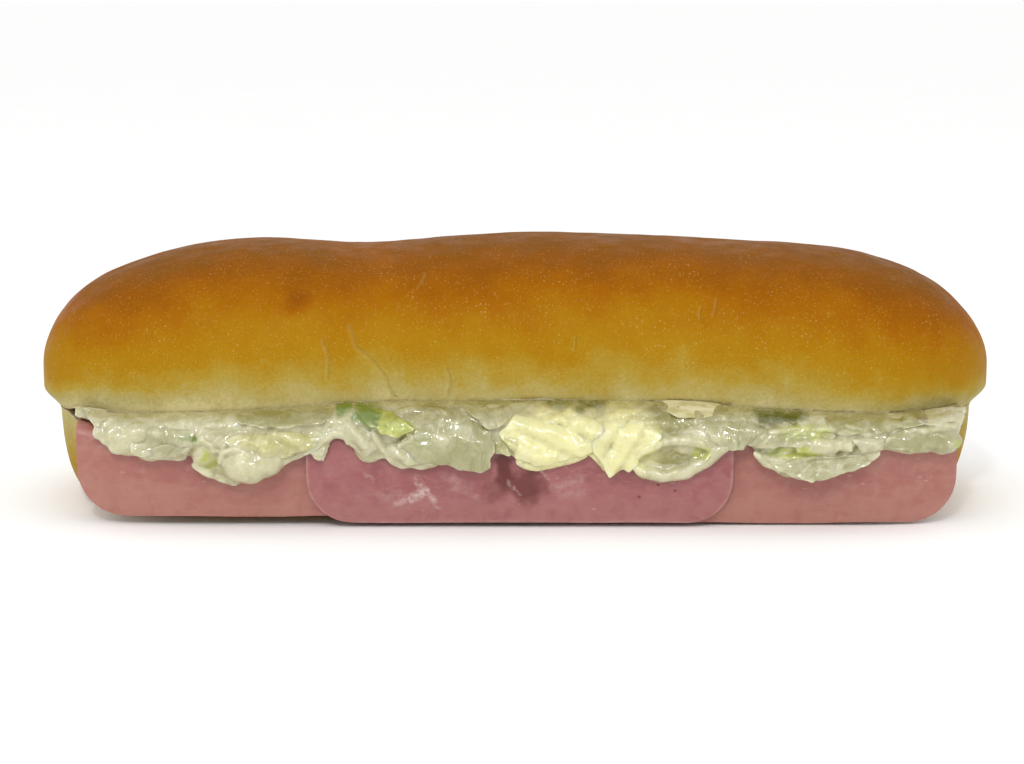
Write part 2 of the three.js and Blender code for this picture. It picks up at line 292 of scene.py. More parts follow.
def feed(tree, shader, colour, rough, height, strength, distance):
    tree.links.new(colour, shader.inputs["Base Color"])
    tree.links.new(rough, shader.inputs["Roughness"])
    bump = addNode(tree, "Bump", None, {"Strength": strength, "Distance": distance, "Height": height})
    tree.links.new(bump.outputs[0], shader.inputs["Normal"])


def newGroup(name, sockets, results):
    group = bpy.data.node_groups.new(name, "ShaderNodeTree")
    for label, kind, value in sockets:
        socket = group.interface.new_socket(name=label, in_out="INPUT", socket_type=kind)
        if value is not None:
            socket.default_value = value
    for label in results:
        group.interface.new_socket(name=label, in_out="OUTPUT", socket_type="NodeSocketFloat")
    return group, group.nodes.new("NodeGroupInput"), group.nodes.new("NodeGroupOutput")


def useGroup(tree, group, inputs):
    return addNode(tree, "Group", {"node_tree": group}, inputs).outputs


def bent(tree, point, size, amount):  # the point, pushed about a little so that a mark's edge wavers
    colour = addNode(tree, "TexNoise", None, {"Vector": point, "Scale": 1 / size, "Detail": 3}).outputs[1]
    centred = addNode(tree, "VectorMath", {"operation": "SUBTRACT"}, {0: colour, 1: (0.5, 0.5, 0.5)}).outputs[0]
    scaled = addNode(tree, "VectorMath", {"operation": "SCALE"}, {0: centred, 3: amount}).outputs[0]
    moved = addNode(tree, "VectorMath", {"operation": "ADD"}, {0: point, 1: scaled}).outputs[0]
    return addNode(tree, "VectorMath", {"operation": "MULTIPLY"}, {0: moved, 1: (1, 0, 1)}).outputs[0]


def makeLineGroup():  # a wavering line on the front, between two points given by x and z
    sockets = [("Point", "NodeSocketVector", None), ("Start", "NodeSocketVector", (0, 0, 0)),
               ("End", "NodeSocketVector", (1, 0, 0)), ("Width", "NodeSocketFloat", 0.4),
               ("Waver", "NodeSocketFloat", 1.5)]
    group, given, result = newGroup("front line", sockets, ["Mask"])
    flat = bent(group, given.outputs["Point"], 3.0, given.outputs["Waver"])
    reach = addNode(group, "VectorMath", {"operation": "SUBTRACT"}, {0: flat, 1: given.outputs["Start"]}).outputs[0]
    whole = addNode(group, "VectorMath", {"operation": "SUBTRACT"},
                    {0: given.outputs["End"], 1: given.outputs["Start"]}).outputs[0]
    along = addNode(group, "VectorMath", {"operation": "DOT_PRODUCT"}, {0: reach, 1: whole}).outputs["Value"]
    square = addNode(group, "VectorMath", {"operation": "DOT_PRODUCT"}, {0: whole, 1: whole}).outputs["Value"]
    share = calc(group, "DIVIDE", along, square, clampIt=True)
    nearest = addNode(group, "VectorMath", {"operation": "SCALE"}, {0: whole, 3: share}).outputs[0]
    away = addNode(group, "VectorMath", {"operation": "SUBTRACT"}, {0: reach, 1: nearest}).outputs[0]
    distance = addNode(group, "VectorMath", {"operation": "LENGTH"}, {0: away}).outputs["Value"]
    mask = fade(group, distance, 0.0, given.outputs["Width"], 1.0, 0.0)
    depth = addNode(group, "SeparateXYZ", None, {0: given.outputs["Point"]}).outputs[1]
    group.links.new(calc(group, "MULTIPLY", mask, calc(group, "LESS_THAN", depth, 0.0)), result.inputs[0])
    return group


def makeSpotGroup():  # a soft-edged patch on the front, round a middle given by x and z
    sockets = [("Point", "NodeSocketVector", None), ("Middle", "NodeSocketVector", (0, 0, 0)),
               ("Half Size", "NodeSocketVector", (3, 1, 3)), ("Soft", "NodeSocketFloat", 0.5),
               ("Waver", "NodeSocketFloat", 2.0)]
    group, given, result = newGroup("front spot", sockets, ["Mask"])
    flat = bent(group, given.outputs["Point"], 4.0, given.outputs["Waver"])
    away = addNode(group, "VectorMath", {"operation": "SUBTRACT"}, {0: flat, 1: given.outputs["Middle"]}).outputs[0]
    sized = addNode(group, "VectorMath", {"operation": "DIVIDE"}, {0: away, 1: given.outputs["Half Size"]}).outputs[0]
    distance = addNode(group, "VectorMath", {"operation": "LENGTH"}, {0: sized}).outputs["Value"]
    inner = calc(group, "SUBTRACT", 1.0, given.outputs["Soft"])
    mask = fade(group, distance, inner, 1.0, 1.0, 0.0)
    depth = addNode(group, "SeparateXYZ", None, {0: given.outputs["Point"]}).outputs[1]
    group.links.new(calc(group, "MULTIPLY", mask, calc(group, "LESS_THAN", depth, 0.0)), result.inputs[0])
    return group


def makeGrainGroup():  # fine relief and a scatter of small specks
    sockets = [("Point", "NodeSocketVector", None), ("Fine", "NodeSocketFloat", 1.0),
               ("Coarse", "NodeSocketFloat", 4.0), ("Speck Size", "NodeSocketFloat", 2.0),
               ("Speck Share", "NodeSocketFloat", 0.2)]
    group, given, result = newGroup("fine grain", sockets, ["Height", "Specks"])
    fineScale = calc(group, "DIVIDE", 1.0, given.outputs["Fine"])
    coarseScale = calc(group, "DIVIDE", 1.0, given.outputs["Coarse"])
    point = given.outputs["Point"]
    fine = addNode(group, "TexNoise", None, {"Vector": point, "Scale": fineScale, "Detail": 4}).outputs[0]
    coarse = addNode(group, "TexNoise", None, {"Vector": point, "Scale": coarseScale, "Detail": 3}).outputs[0]
    height = calc(group, "ADD", calc(group, "MULTIPLY", fine, 0.4), calc(group, "MULTIPLY", coarse, 0.6))
    speckScale = calc(group, "DIVIDE", 1.0, given.outputs["Speck Size"])
    cells = addNode(group, "TexVoronoi", None, {"Vector": point, "Scale": speckScale})
    chance = addNode(group, "SeparateXYZ", None, {0: cells.outputs["Color"]}).outputs[0]
    chosen = calc(group, "LESS_THAN", chance, given.outputs["Speck Share"])
    dots = fade(group, cells.outputs["Distance"], 0.08, 0.3, 1.0, 0.0)
    group.links.new(height, result.inputs[0])
    group.links.new(calc(group, "MULTIPLY", chosen, dots), result.inputs[1])
    return group


frontLine, frontSpot, fineGrain = makeLineGroup(), makeSpotGroup(), makeGrainGroup()


# the bread

crust = {
    # browning from the pale band beside the cut to the crown
    "browning": [(0.00, (0.50, 0.43, 0.20)), (0.08, (0.39, 0.325, 0.115)), (0.19, (0.355, 0.242, 0.032)),
                 (0.30, (0.34, 0.178, 0.006)), (0.44, (0.322, 0.142, 0.002)), (0.58, (0.292, 0.098, 0.001)),
                 (0.70, (0.235, 0.072, 0.001)), (0.80, (0.195, 0.066, 0.001)), (1.00, (0.145, 0.046, 0.001))],
    "paleHeight": 24.0, "crownHeight": 41.9, "underShare": 0.017,
    "endBrowning": (0.18, 45, 102), "rightBrowning": (20, 100, 0.0, 0.07), "backBrowning": (2, 24, 0.0, 0.09), "mottle": (0.26, 0.26, 0.16),
    # (the mottle is the wide, middling and fine unevenness of the browning)
    "speckColour": (0.58, 0.38, 0.12), "speckShare": 0.4,
    # the wrinkles get painted shade in the crease and a painted highlight on their raised side
    "creaseShadeColour": (0.28, 0.16, 0.025), "ridgeHighlightColour": (0.50, 0.37, 0.12), "creaseDepth": 0.28,
    "blotches": [((-45.6, 0, 46.2), (4.5, 1, 3.6), 0.16), ((-41, 0, 49), (9, 1, 5), 0.05)],
    # fine cracks and wrinkles, each a few straight runs by x and z, with a width
    "creases": [([(-39.9, 39.0), (-38.6, 35.0), (-39.1, 31.0)], 0.4),
                ([(-34.2, 41.7), (-33.1, 37.7), (-29.1, 34.0), (-26.8, 31.3), (-26.5, 29.1), (-25.1, 27.2)], 0.42),
                ([(-14.4, 33.0), (-13.6, 30.2), (-14.3, 27.2)], 0.34),
                ([(41.0, 44.0), (41.7, 47.0)], 0.26), ([(38.0, 43.4), (38.3, 45.4)], 0.22),
                ([(-20.2, 49.0), (-18.9, 51.6)], 0.22), ([(12.0, 37.0), (12.4, 39.6)], 0.2)],
}
crumb = {"colour": (0.629, 0.561, 0.357), "pore": (0.493, 0.408, 0.221)}


def makeCrustMaterial():
    settings = {"Specular IOR Level": 0.03, "Subsurface Weight": 0.05, "Subsurface Radius": (1.0, 0.5, 0.2), "Subsurface Scale": 0.0012}
    material, tree, shader, point = newMaterial("baked crust", settings)
    x, y, z = addNode(tree, "SeparateXYZ", None, {0: point}).outputs
    rise = calc(tree, "SUBTRACT", z, crust["paleHeight"])
    above = calc(tree, "DIVIDE", rise, crust["crownHeight"])
    below = calc(tree, "MULTIPLY", rise, -crust["underShare"])
    bake = calc(tree, "MAXIMUM", above, below)
    amount, start, end = crust["endBrowning"]
    ends = fade(tree, calc(tree, "ABSOLUTE", x), start, end, 0.0, amount)
    bake = calc(tree, "MULTIPLY_ADD", ends, fade(tree, z, 23.0, 30.0), bake)
    bake = calc(tree, "ADD", bake, fade(tree, x, *crust["rightBrowning"]))
    bake = calc(tree, "ADD", bake, fade(tree, y, *crust["backBrowning"]))
    for (size, detail), amount in zip(((26, 2), (8, 3), (0.75, 3)), crust["mottle"]):
        patch = calc(tree, "SUBTRACT", noiseValue(tree, point, size, detail, 0.6), 0.5)
        bake = calc(tree, "MULTIPLY_ADD", patch, amount, bake)
    for middle, half, darker in crust["blotches"]:
        spot = useGroup(tree, frontSpot, {"Point": point, "Middle": middle, "Half Size": half, "Soft": 0.8})[0]
        bake = calc(tree, "MULTIPLY_ADD", spot, darker, bake)
    grain = useGroup(tree, fineGrain, {"Point": point, "Fine": 0.7, "Coarse": 2.6, "Speck Size": 0.95,
                                       "Speck Share": crust["speckShare"]})
    colour = colourRamp(tree, bake, crust["browning"])
    specks = calc(tree, "MULTIPLY", grain[1], fade(tree, noiseValue(tree, point, 9, 2), 0.4, 0.65, 0.06, 0.4))
    pricks = useGroup(tree, fineGrain, {"Point": point, "Speck Size": 0.6, "Speck Share": 0.45})[1]
    specks = calc(tree, "MAXIMUM", specks, calc(tree, "MULTIPLY", pricks, 0.36))
    colour = blendColours(tree, specks, colour, crust["speckColour"])
    # masks for the wrinkles' painted shade (creased) and painted highlight (raised); creased also drives the bump
    creased = raised = 0.0
    for corners, width in crust["creases"]:
        for (startX, startZ), (endX, endZ) in zip(corners, corners[1:]):
            line = useGroup(tree, frontLine, {"Point": point, "Start": (startX, 0, startZ), "End": (endX, 0, endZ),
                                              "Width": width, "Waver": 0.9})[0]
            creased = calc(tree, "MAXIMUM", creased, line)
            line = useGroup(tree, frontLine, {"Point": point, "Start": (startX - 0.35, 0, startZ),
                                              "End": (endX - 0.35, 0, endZ), "Width": width * 2.4, "Waver": 0.9})[0]
            raised = calc(tree, "MAXIMUM", raised, line)
    # painted highlight on the raised side of each wrinkle, then painted shade in the crease itself
    colour = blendColours(tree, calc(tree, "MULTIPLY", raised, 0.13), colour, crust["ridgeHighlightColour"])
    colour = blendColours(tree, calc(tree, "MULTIPLY", creased, 0.22), colour, crust["creaseShadeColour"])
    height = calc(tree, "SUBTRACT", grain[0], calc(tree, "MULTIPLY", creased, 0.6))
    height = calc(tree, "MULTIPLY_ADD", noiseValue(tree, point, 7, 3), 0.8, height)
    height = calc(tree, "MULTIPLY_ADD", grain[1], 0.12, height)
    rough = fade(tree, noiseValue(tree, point, 5, 3), 0.3, 0.7, 0.42, 0.6)
    feed(tree, shader, colour, rough, height, 0.55, 0.0006)
    return material


def makeCrumbMaterial():
    settings = {"Specular IOR Level": 0.3, "Subsurface Weight": 0.2, "Subsurface Radius": (1.0, 0.7, 0.4),
                "Subsurface Scale": 0.0015}
    material, tree, shader, point = newMaterial("soft crumb", settings)
    cells = addNode(tree, "TexVoronoi", None, {"Vector": bentThrough(tree, point), "Scale": 0.55}).outputs[0]
    pores = fade(tree, cells, 0.15, 0.5, 1.0, 0.0)
    colour = blendColours(tree, pores, crumb["colour"], crumb["pore"])
    tint = fade(tree, noiseValue(tree, point, 6, 3), 0.35, 0.7, 0.0, 0.4)
    colour = blendColours(tree, tint, colour, (0.66, 0.55, 0.30))
    height = calc(tree, "SUBTRACT", noiseValue(tree, point, 1.2, 4), pores)
    feed(tree, shader, colour, fade(tree, pores, 0, 1, 0.7, 0.9), height, 0.6, 0.0008)
    return material


def bentThrough(tree, point):
    colour = addNode(tree, "TexNoise", None, {"Vector": point, "Scale": 0.4, "Detail": 3}).outputs[1]
    return blendColours(tree, 0.25, point, colour, "LINEAR_LIGHT")


def creaseDip(x, z):  # how deep the crust is drawn in along its wrinkles
    deepest = 0.0
    for corners, width in crust["creases"]:
        for (startX, startZ), (endX, endZ) in zip(corners, corners[1:]):
            wholeX, wholeZ = endX - startX, endZ - startZ
            share = clamp(((x - startX) * wholeX + (z - startZ) * wholeZ) / (wholeX ** 2 + wholeZ ** 2))
            away = math.hypot(x - startX - share * wholeX, z - startZ - share * wholeZ)
            deepest = max(deepest, crust["creaseDepth"] * clamp(1 - away / 1.3) ** 1.5)
    return deepest


def makeRoll():
    bm = bmesh.new()
    bmesh.ops.create_uvsphere(bm, u_segments=roll["sides"], v_segments=roll["rings"], radius=1)
    longWave, shortWave = roll["dimples"]
    for vert in bm.verts:
        p = vert.co
        along = math.copysign(1 - (1 - min(abs(p.z), 1)) ** roll["ringSpacing"], p.z)
        angle = math.atan2(p.y, abs(p.x))
        side = -1 if p.x < 0 else 1
        place = crustPoint(along, side, angle)
        middle = Vector((place.x * 0.86, 0, equatorAt(place.x)))
        away = (place - middle).normalized()
        uneven = longWave * wander(place, 17) + shortWave * wander(place, 4.5, 3)
        uneven *= smoothstep(place.z, 0.5, 5) * smoothstep(taper(place.x), 0.05, 0.4)
        if place.y < 0 and 26 < place.z < 53:
            uneven -= creaseDip(place.x, place.z)
        vert.co = place + away * uneven
    bread = newObject("bread_roll", bm, [makeCrustMaterial(), makeCrumbMaterial()])

    bm = bmesh.new()
    verts = addSlab(bm, 220, 46)
    longWave, shortWave = cut["waviness"]
    depths = [-24, -4, -2, -1.2, -0.7, -0.35, -0.1, 0.02, 0.06, 0.1, 0.15, 0.21, 0.28, 0.36, 0.45, 0.55, 0.65, 1.2]
    last = 46
    for vert in verts:
        x = vert.co.x * (roll["halfLength"] + 12)
        row = round((vert.co.y + 1) / 2 * last)
        over = vert.co.z > 0.5
        inside = clamp(x, -roll["halfLength"] + 0.01, roll["halfLength"] - 0.01)
        level = roofAt(inside, -roll["halfDepth"]) if over else bedAt(inside, -roll["halfDepth"])
        mouth = -crustDepth(inside, level)
        back = planDepth(inside) - cut["hinge"]
        radius = cut["lipRound"] * (0.3 + 0.7 * taper(inside))
        if row < len(depths):
            depth = depths[row]
            y = mouth + depth
        else:
            share = (row - len(depths) + 1) / (last - len(depths) + 1)
            y = lerp(mouth + depths[-1], max(back, mouth + depths[-1] + 1), share)
            depth = y - mouth
        y = min(y, max(back, mouth - 20) + 0.002 * row)
        inner = clamp((radius - depth) / radius)
        flare = radius * (1 - math.sqrt(1 - inner ** 2)) if depth >= 0 else radius + min(-0.3 * depth, 0.12)
        pinch = 0.8 * smoothstep(abs(x), 92.2, 96.5)  # the halves meet at the tips
        wave = longWave * wander((x, y, 0), 14, 5) + shortWave * wander((x, y, 0), 3.2, 8)
        wave += roll["crumbRelief"] * wander((x, y, over * 9), 2.2, 2) * smoothstep(depth, 1.5, 4) * 0.5
        middle = (roofAt(inside, y) + bedAt(inside, y)) / 2
        if over:
            vert.co = (x, y, lerp(roofAt(inside, y) + flare + wave, middle + 0.1, pinch))
        else:
            vert.co = (x, y, lerp(bedAt(inside, y) - flare * 0.8 + wave * 0.4, middle - 0.1, pinch))
    opening = newObject("opening", bm, [bread.data.materials[0], bread.data.materials[1]])
    for face in opening.data.polygons:
        face.material_index = 1
    difference = bread.modifiers.new("cut", "BOOLEAN")
    difference.operation, difference.object, difference.solver = "DIFFERENCE", opening, "MANIFOLD"
    applyModifiers(bread)
    bpy.data.objects.remove(opening)
    return finishPiece(bread, "roll")


makeRoll()
print("bread shaped and baked")


# the loosened bit of crust that hangs from the upper lip
lipFlap = {"from": 29.8, "to": 42.7, "height": (0.9, 2.2), "thickness": 0.45, "colour": (0.56, 0.52, 0.30)}


def makeFlapMaterial():
    material, tree, shader, point = newMaterial("torn skin", {"Specular IOR Level": 0.35})
    tint = noiseValue(tree, stretched(tree, point, (0.4, 1, 1)), 1.6, 3)
    colour = blendColours(tree, fade(tree, tint, 0.35, 0.7), lipFlap["colour"], (0.40, 0.34, 0.14))
    feed(tree, shader, colour, fade(tree, tint, 0.3, 0.7, 0.5, 0.7), tint, 0.4, 0.0005)
    return material


def makeFlap():
    bm = bmesh.new()
    high, low = lipFlap["height"]
    for vert in addSlab(bm, 70, 8):
        u, v, over = (vert.co.x + 1) / 2, (vert.co.y + 1) / 2, vert.co.z
        x = lerp(lipFlap["from"], lipFlap["to"], u)
        ends = math.sqrt(clamp(1 - (2 * u - 1) ** 4))
        roof = roofAt(x, -33)
        top = roof + 0.25 + (high - 0.25) * ends
        bottom = roof + 0.1 - low * ends * (0.6 + 0.4 * math.sin(math.pi * u ** 0.7)) + 0.4 * ends * wander((x, 0, 0), 2.2, 4)
        away = 0.5 + 4.0 * (1 - v) ** 0.8 + 0.15 * wander((x, v, 3), 3)
        y = -crustDepth(x, roof) + 0.1 - (away + lipFlap["thickness"] * over) * ends
        vert.co = (x, y, lerp(bottom, top, v))
    finishFree(newObject("lip_flap", bm, [makeFlapMaterial()]))


def finishFree(piece):
    piece.data.transform(toFrame)
    piece.data.shade_smooth()
    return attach(piece, "root")


makeFlap()


# the ham

hamSlices = [
    {"name": "ham_left", "centre": -47.6, "layer": 0, "hem": 1.8, "finish": "pale"},
    {"name": "ham_right", "centre": 47.8, "layer": 0, "hem": 0.3, "finish": "pale"},
    {"name": "ham_middle", "centre": 0.6, "layer": 1, "hem": 0.8, "finish": "rosy"},
]
meat = {
    # 'rim' is the colour of the painted highlight along the slices' rounded cut edges; 'lighter' serves the random
    # lighter tone and the painted light towards the hem
    "pale": {"colour": (0.351, 0.132, 0.101), "deeper": (0.313, 0.098, 0.08), "lighter": (0.388, 0.177, 0.136),
             "rim": (0.345, 0.151, 0.117), "rimHighlightShare": (0.0, 0.3)},
    "rosy": {"colour": (0.298, 0.09, 0.091), "deeper": (0.251, 0.063, 0.068), "lighter": (0.351, 0.144, 0.13),
             "rim": (0.42, 0.215, 0.195), "rimHighlightShare": (0.3, 0.8)},
    "fat": (0.53, 0.39, 0.36), "dark": (0.10, 0.004, 0.002),
    # x and z of the whitish streak, the dark patches and the small pits, in that order
    "streaks": [((-21.3, 0, 11.2), (-20.4, 0, 9.4), 0.9, 0.5), ((-20.4, 0, 9.4), (-19.4, 0, 7.7), 1.4, 0.8),
                ((-19.4, 0, 7.7), (-22.4, 0, 6.0), 1.7, 0.85), ((-22.4, 0, 6.0), (-25.8, 0, 4.8), 1.1, 0.5),
                ((-19.4, 0, 7.7), (-17.4, 0, 5.8), 1.3, 0.7), ((-17.4, 0, 5.8), (-15.8, 0, 4.2), 0.8, 0.4),
                ((-1.8, 0, 10.0), (0.4, 0, 7.1), 0.6, 0.4), ((4.6, 0, 12.6), (6.8, 0, 10.4), 0.7, 0.45),
                ((-15.0, 0, 11.2), (-9.6, 0, 9.0), 1.6, 0.22), ((-13.0, 0, 8.6), (-8.6, 0, 6.6), 1.5, 0.2),
                ((-31.4, 0, 11.6), (-30.0, 0, 10.4), 0.8, 0.35), ((7.6, 0, 9.0), (13.4, 0, 10.4), 1.9, 0.28),
                ((8.8, 0, 7.0), (14.0, 0, 7.4), 1.7, 0.2), ((-28.0, 0, 6.0), (-24.6, 0, 7.4), 1.6, 0.2)],
    "patches": [((-2.6, 0, 13.4), (2.8, 1, 6.2), 1.0), ((1.6, 0, 9.0), (5.6, 1, 5.0), 0.85),
                ((-4.6, 0, 8.2), (3.4, 1, 3.6), 0.4), ((-26.0, 0, 17.0), (9.0, 1, 3.0), 0.25)],
    "pits": [(29.3, 0, 9.2), (32.8, 0, 8.1), (25.4, 0, 6.7)],
}


def makeHamMaterial(name, look):
    settings = {"Specular IOR Level": 0.5, "Subsurface Weight": 0.22, "Subsurface Radius": (1.0, 0.35, 0.25),
                "Subsurface Scale": 0.0016, "Coat Weight": 0.22, "Coat Roughness": 0.22}
    material, tree, shader, point = newMaterial(name, settings)
    broad = noiseValue(tree, stretched(tree, point, (0.55, 1, 1.2)), 8, 3, 0.55, 0.6)
    colour = blendColours(tree, fade(tree, broad, 0.38, 0.68), look["colour"], look["deeper"])
    veil = noiseValue(tree, stretched(tree, point, (0.35, 1, 1.3), (0, 0.35, 0)), 2.4, 5, 0.62, 1.4)
    colour = blendColours(tree, fade(tree, veil, 0.52, 0.74, 0.0, 0.65), colour, look["lighter"])
    height = addNode(tree, "SeparateXYZ", None, {0: point}).outputs[2]
    # painted light: the slice lighter towards its hem, for the bounce light from the floor and the less shaded lower
    # part
    colour = blendColours(tree, fade(tree, height, 0.5, 12.0, 0.65, 0.0), colour, look["lighter"])
    clouds = noiseValue(tree, point, 3.2, 5, 0.6, 0.4)
    colour = blendColours(tree, fade(tree, clouds, 0.45, 0.7, 0.0, 0.5), colour, look["lighter"])
    colour = blendColours(tree, fade(tree, clouds, 0.5, 0.3, 0.0, 0.5), colour, look["deeper"])
    # painted highlight: a lighter rim along the rounded cut edges, broken up by noise
    rim = addNode(tree, "Attribute", {"attribute_name": "rim"}).outputs["Fac"]
    rimHighlightShare = fade(tree, noiseValue(tree, point, 3, 3), 0.38, 0.62, *look["rimHighlightShare"])
    colour = blendColours(tree, calc(tree, "MULTIPLY", rim, rimHighlightShare), colour, look["rim"])
    dashes = stretched(tree, point, (0.45, 1, 1.3), (0, 0.5, 0))
    grain = useGroup(tree, fineGrain, {"Point": dashes, "Fine": 0.5, "Coarse": 2.2, "Speck Size": 1.1,
                                       "Speck Share": 0.08})
    faint = calc(tree, "MULTIPLY", grain[1], fade(tree, noiseValue(tree, point, 6, 2), 0.45, 0.6, 0.05, 0.4))
    colour = blendColours(tree, faint, colour, meat["fat"])
    if look is meat["rosy"]:
        for middle, half, share in meat["patches"]:
            spot = useGroup(tree, frontSpot, {"Point": point, "Middle": middle, "Half Size": half, "Soft": 0.6,
                                              "Waver": 6.0})[0]
            colour = blendColours(tree, calc(tree, "MULTIPLY", spot, share), colour, meat["dark"])
        for start, end, width, strength in meat["streaks"]:
            line = useGroup(tree, frontLine, {"Point": point, "Start": start, "End": end, "Width": width,
                                              "Waver": 3.2})[0]
            broken = fade(tree, noiseValue(tree, point, 1.3, 5, 0.7), 0.36, 0.62, 0.1 * strength, strength)
            colour = blendColours(tree, calc(tree, "MULTIPLY", line, broken), colour, meat["fat"])
        for middle in meat["pits"]:
            spot = useGroup(tree, frontSpot, {"Point": point, "Middle": middle, "Half Size": (0.42, 1, 0.36),
                                              "Waver": 0.5})[0]
            colour = blendColours(tree, calc(tree, "MULTIPLY", spot, 0.8), colour, meat["dark"])
    relief = calc(tree, "MULTIPLY_ADD", veil, 0.5, grain[0])
    rough = fade(tree, noiseValue(tree, point, 3.5, 3), 0.3, 0.7, 0.32, 0.5)
    feed(tree, shader, colour, rough, relief, 0.35, 0.0005)
    return material


def hamRows():  # the rows round a rounded corner, each as (how far along, inset at the rounded corner)
    radius = ham["cornerRadius"]
    arc = [(1 - math.cos(step / 9 * math.pi / 2)) for step in range(10)]
    corner = [(radius * share, radius * (1 - share)) for share in arc]
    return corner


def makeHam(hamSlice, material):
    under = ham["clearOfBread"] + hamSlice["layer"] * (ham["thickness"] + ham["gap"])
    radius, corner = ham["cornerRadius"], hamRows()
    inner, bend, front = 10, 10, 14
    rows = 2 * len(corner) + inner + bend + front - 1
    bm = bmesh.new()
    rimLayer = bm.verts.layers.float.new("rim")
    verts = addSlab(bm, 120, rows)

    def runOf(x, row, off):  # the way run to that row, and its inset; both faces end level
        start = bendAt(x)[0] - ham["innerEdge"]
        bendRun = (ham["lipRadius"] + off) * math.pi / 2
        end = runTo(x, hamSlice["hem"], off)
        if row < len(corner):
            return start + corner[row][0], corner[row][1]
        row -= len(corner)
        if row < inner:
            return lerp(start + radius, 0, (row + 1) / (inner + 1)), 0
        row -= inner
        if row <= bend:
            return bendRun * row / bend, 0
        row -= bend
        if row < front:
            return lerp(bendRun, end - radius, row / front), 0
        place, inset = corner[len(corner) - 1 - min(row - front, len(corner) - 1)]
        return end - place, inset

    for vert in verts:
        row = round((1 - vert.co.y) / 2 * rows)
        off = under + vert.co.z * ham["thickness"]
        _, inset = runOf(hamSlice["centre"], row, off)
        half = ham["width"] / 2 - radius + math.sqrt(radius ** 2 - inset ** 2)
        x = hamSlice["centre"] + vert.co.x * half
        run, _ = runOf(x, row, off)
        hang = smoothstep(run, 2, 12)
        wave = ham["waviness"] * (0.6 + 0.8 * hang) * (wander((x, run, hamSlice["centre"]), 16, 2) + 0.3)
        bottom = runTo(x, hamSlice["hem"], off) - run
        edge = min(half - abs(vert.co.x) * half, bottom, run - (bendAt(x)[0] - ham["innerEdge"]))
        # rim marks the cut edges, where the painted highlight goes
        vert[rimLayer] = 1 - smoothstep(edge, 0.1, 0.8)
        vert.co = drape(x, run, off + max(wave, 0))
    rim = [edge for edge in bm.edges if len(edge.link_faces) == 2 and edge.calc_face_angle(0) > 0.9]
    bmesh.ops.recalc_face_normals(bm, faces=bm.faces)
    bmesh.ops.bevel(bm, geom=rim, offset=ham["rimRound"], offset_type="OFFSET", segments=3, profile=0.5,
                    affect="EDGES", clamp_overlap=True, material=-1)
    finishPiece(newObject(hamSlice["name"] + "_slice", bm, [material]), hamSlice["name"])


hamMaterials = {kind: makeHamMaterial(kind + " ham", meat[kind]) for kind in ("pale", "rosy")}
for hamSlice in hamSlices:
    makeHam(hamSlice, hamMaterials[hamSlice["finish"]])
print("ham draped")


# the dressed salad: one soft mass of mayonnaise and buried leaf, with the leaves that show laid into it
salad = {
    "middle": 0.9, "halfLength": 93.5, "innerEdge": 10, "frontReach": 9, "bulge": 3.3, "fullness": 3.4,
    "topInset": 1.5,        # how far the face is drawn in under the upper lip
    "billows": ((1.9, 5.6), (1.0, 2.6), (0.4, 1.4)),  # height and size of the unevenness
    "voxel": 0.42, "clear": 0.25,
}
# the lower edge of the salad over the ham, by x and z
hemLine = [
    (-93.8, 28.5), (-90.7, 26.4), (-87.2, 21.6), (-85.8, 17.4), (-80.4, 15.9), (-67.1, 15.5), (-66.5, 13.6),
    (-64.2, 11.9), (-61.6, 10.7), (-59.9, 10.0), (-58.5, 9.6), (-56.8, 9.4), (-54.8, 9.6), (-53.1, 10.2),
    (-51.7, 11.5), (-49.7, 13.4), (-43.5, 16.1), (-40.8, 15.5), (-39.4, 14.9), (-38.6, 18.2), (-37.6, 19.3),
    (-36.1, 19.3), (-34.3, 18.0), (-32.6, 15.9), (-30.6, 14.6), (-27.3, 14.9), (-24.0, 14.0), (-19.9, 13.8),
    (-15.8, 14.6), (-7.6, 12.8), (-5.7, 14.0), (-4.5, 17.4), (-2.9, 17.0), (0.2, 15.1), (4.7, 13.4),
    (10.9, 15.1), (15.0, 15.7), (18.5, 12.3), (21.1, 13.4), (23.2, 13.2), (26.3, 12.1), (29.8, 11.5),
    (33.4, 12.1), (36.5, 13.4), (39.0, 15.1), (41.7, 17.2), (44.7, 18.2), (47.8, 18.6), (49.5, 15.9),
    (51.1, 14.2), (53.6, 12.8), (58.1, 11.5), (60.5, 11.3), (63.8, 11.9), (68.3, 13.4), (72.0, 14.9),
    (75.5, 16.5), (82.7, 15.9), (89.9, 16.1), (91.5, 17.8), (92.3, 21.2), (96.0, 28.5)
]
# smooth lumps of mayonnaise: middle, how far they stand out, three radii
lumps = [
    ((-86.3, 20.0), 0.3, (1.7, 1.7, 1.7)), ((-85.0, 18.9), 0.3, (1.5, 1.7, 1.5)), ((-83.2, 19.6), 0.4, (2.6, 2.2, 2.4)),
    ((-80.2, 18.6), 0.6, (4.0, 2.8, 3.5)), ((-82.3, 17.2), 0.4, (2.6, 2.4, 1.9)), ((-78.0, 20.4), 0.5, (2.8, 2.0, 2.2)),
    ((-55.9, 13.9), 2.5, (5.0, 4.4, 4.3)), ((-52.0, 14.4), 1.7, (4.0, 3.0, 3.2)), ((-30.6, 16.8), 0.3, (3.0, 2.2, 2.8)),
    ((-17.0, 17.6), 0.8, (3.0, 1.8, 1.6)), ((61.8, 17.6), 1.2, (5.0, 2.4, 1.8)), ((-19.4, 23.8), 0.2, (6.4, 1.4, 2.2)),
    ((-64.6, 16.4), 0.9, (2.7, 2.2, 3.0)), ((-15.6, 18.8), 1.4, (3.0, 1.6, 2.0)), ((39.0, 19.0), 0.6, (3.6, 1.8, 2.2)),
]
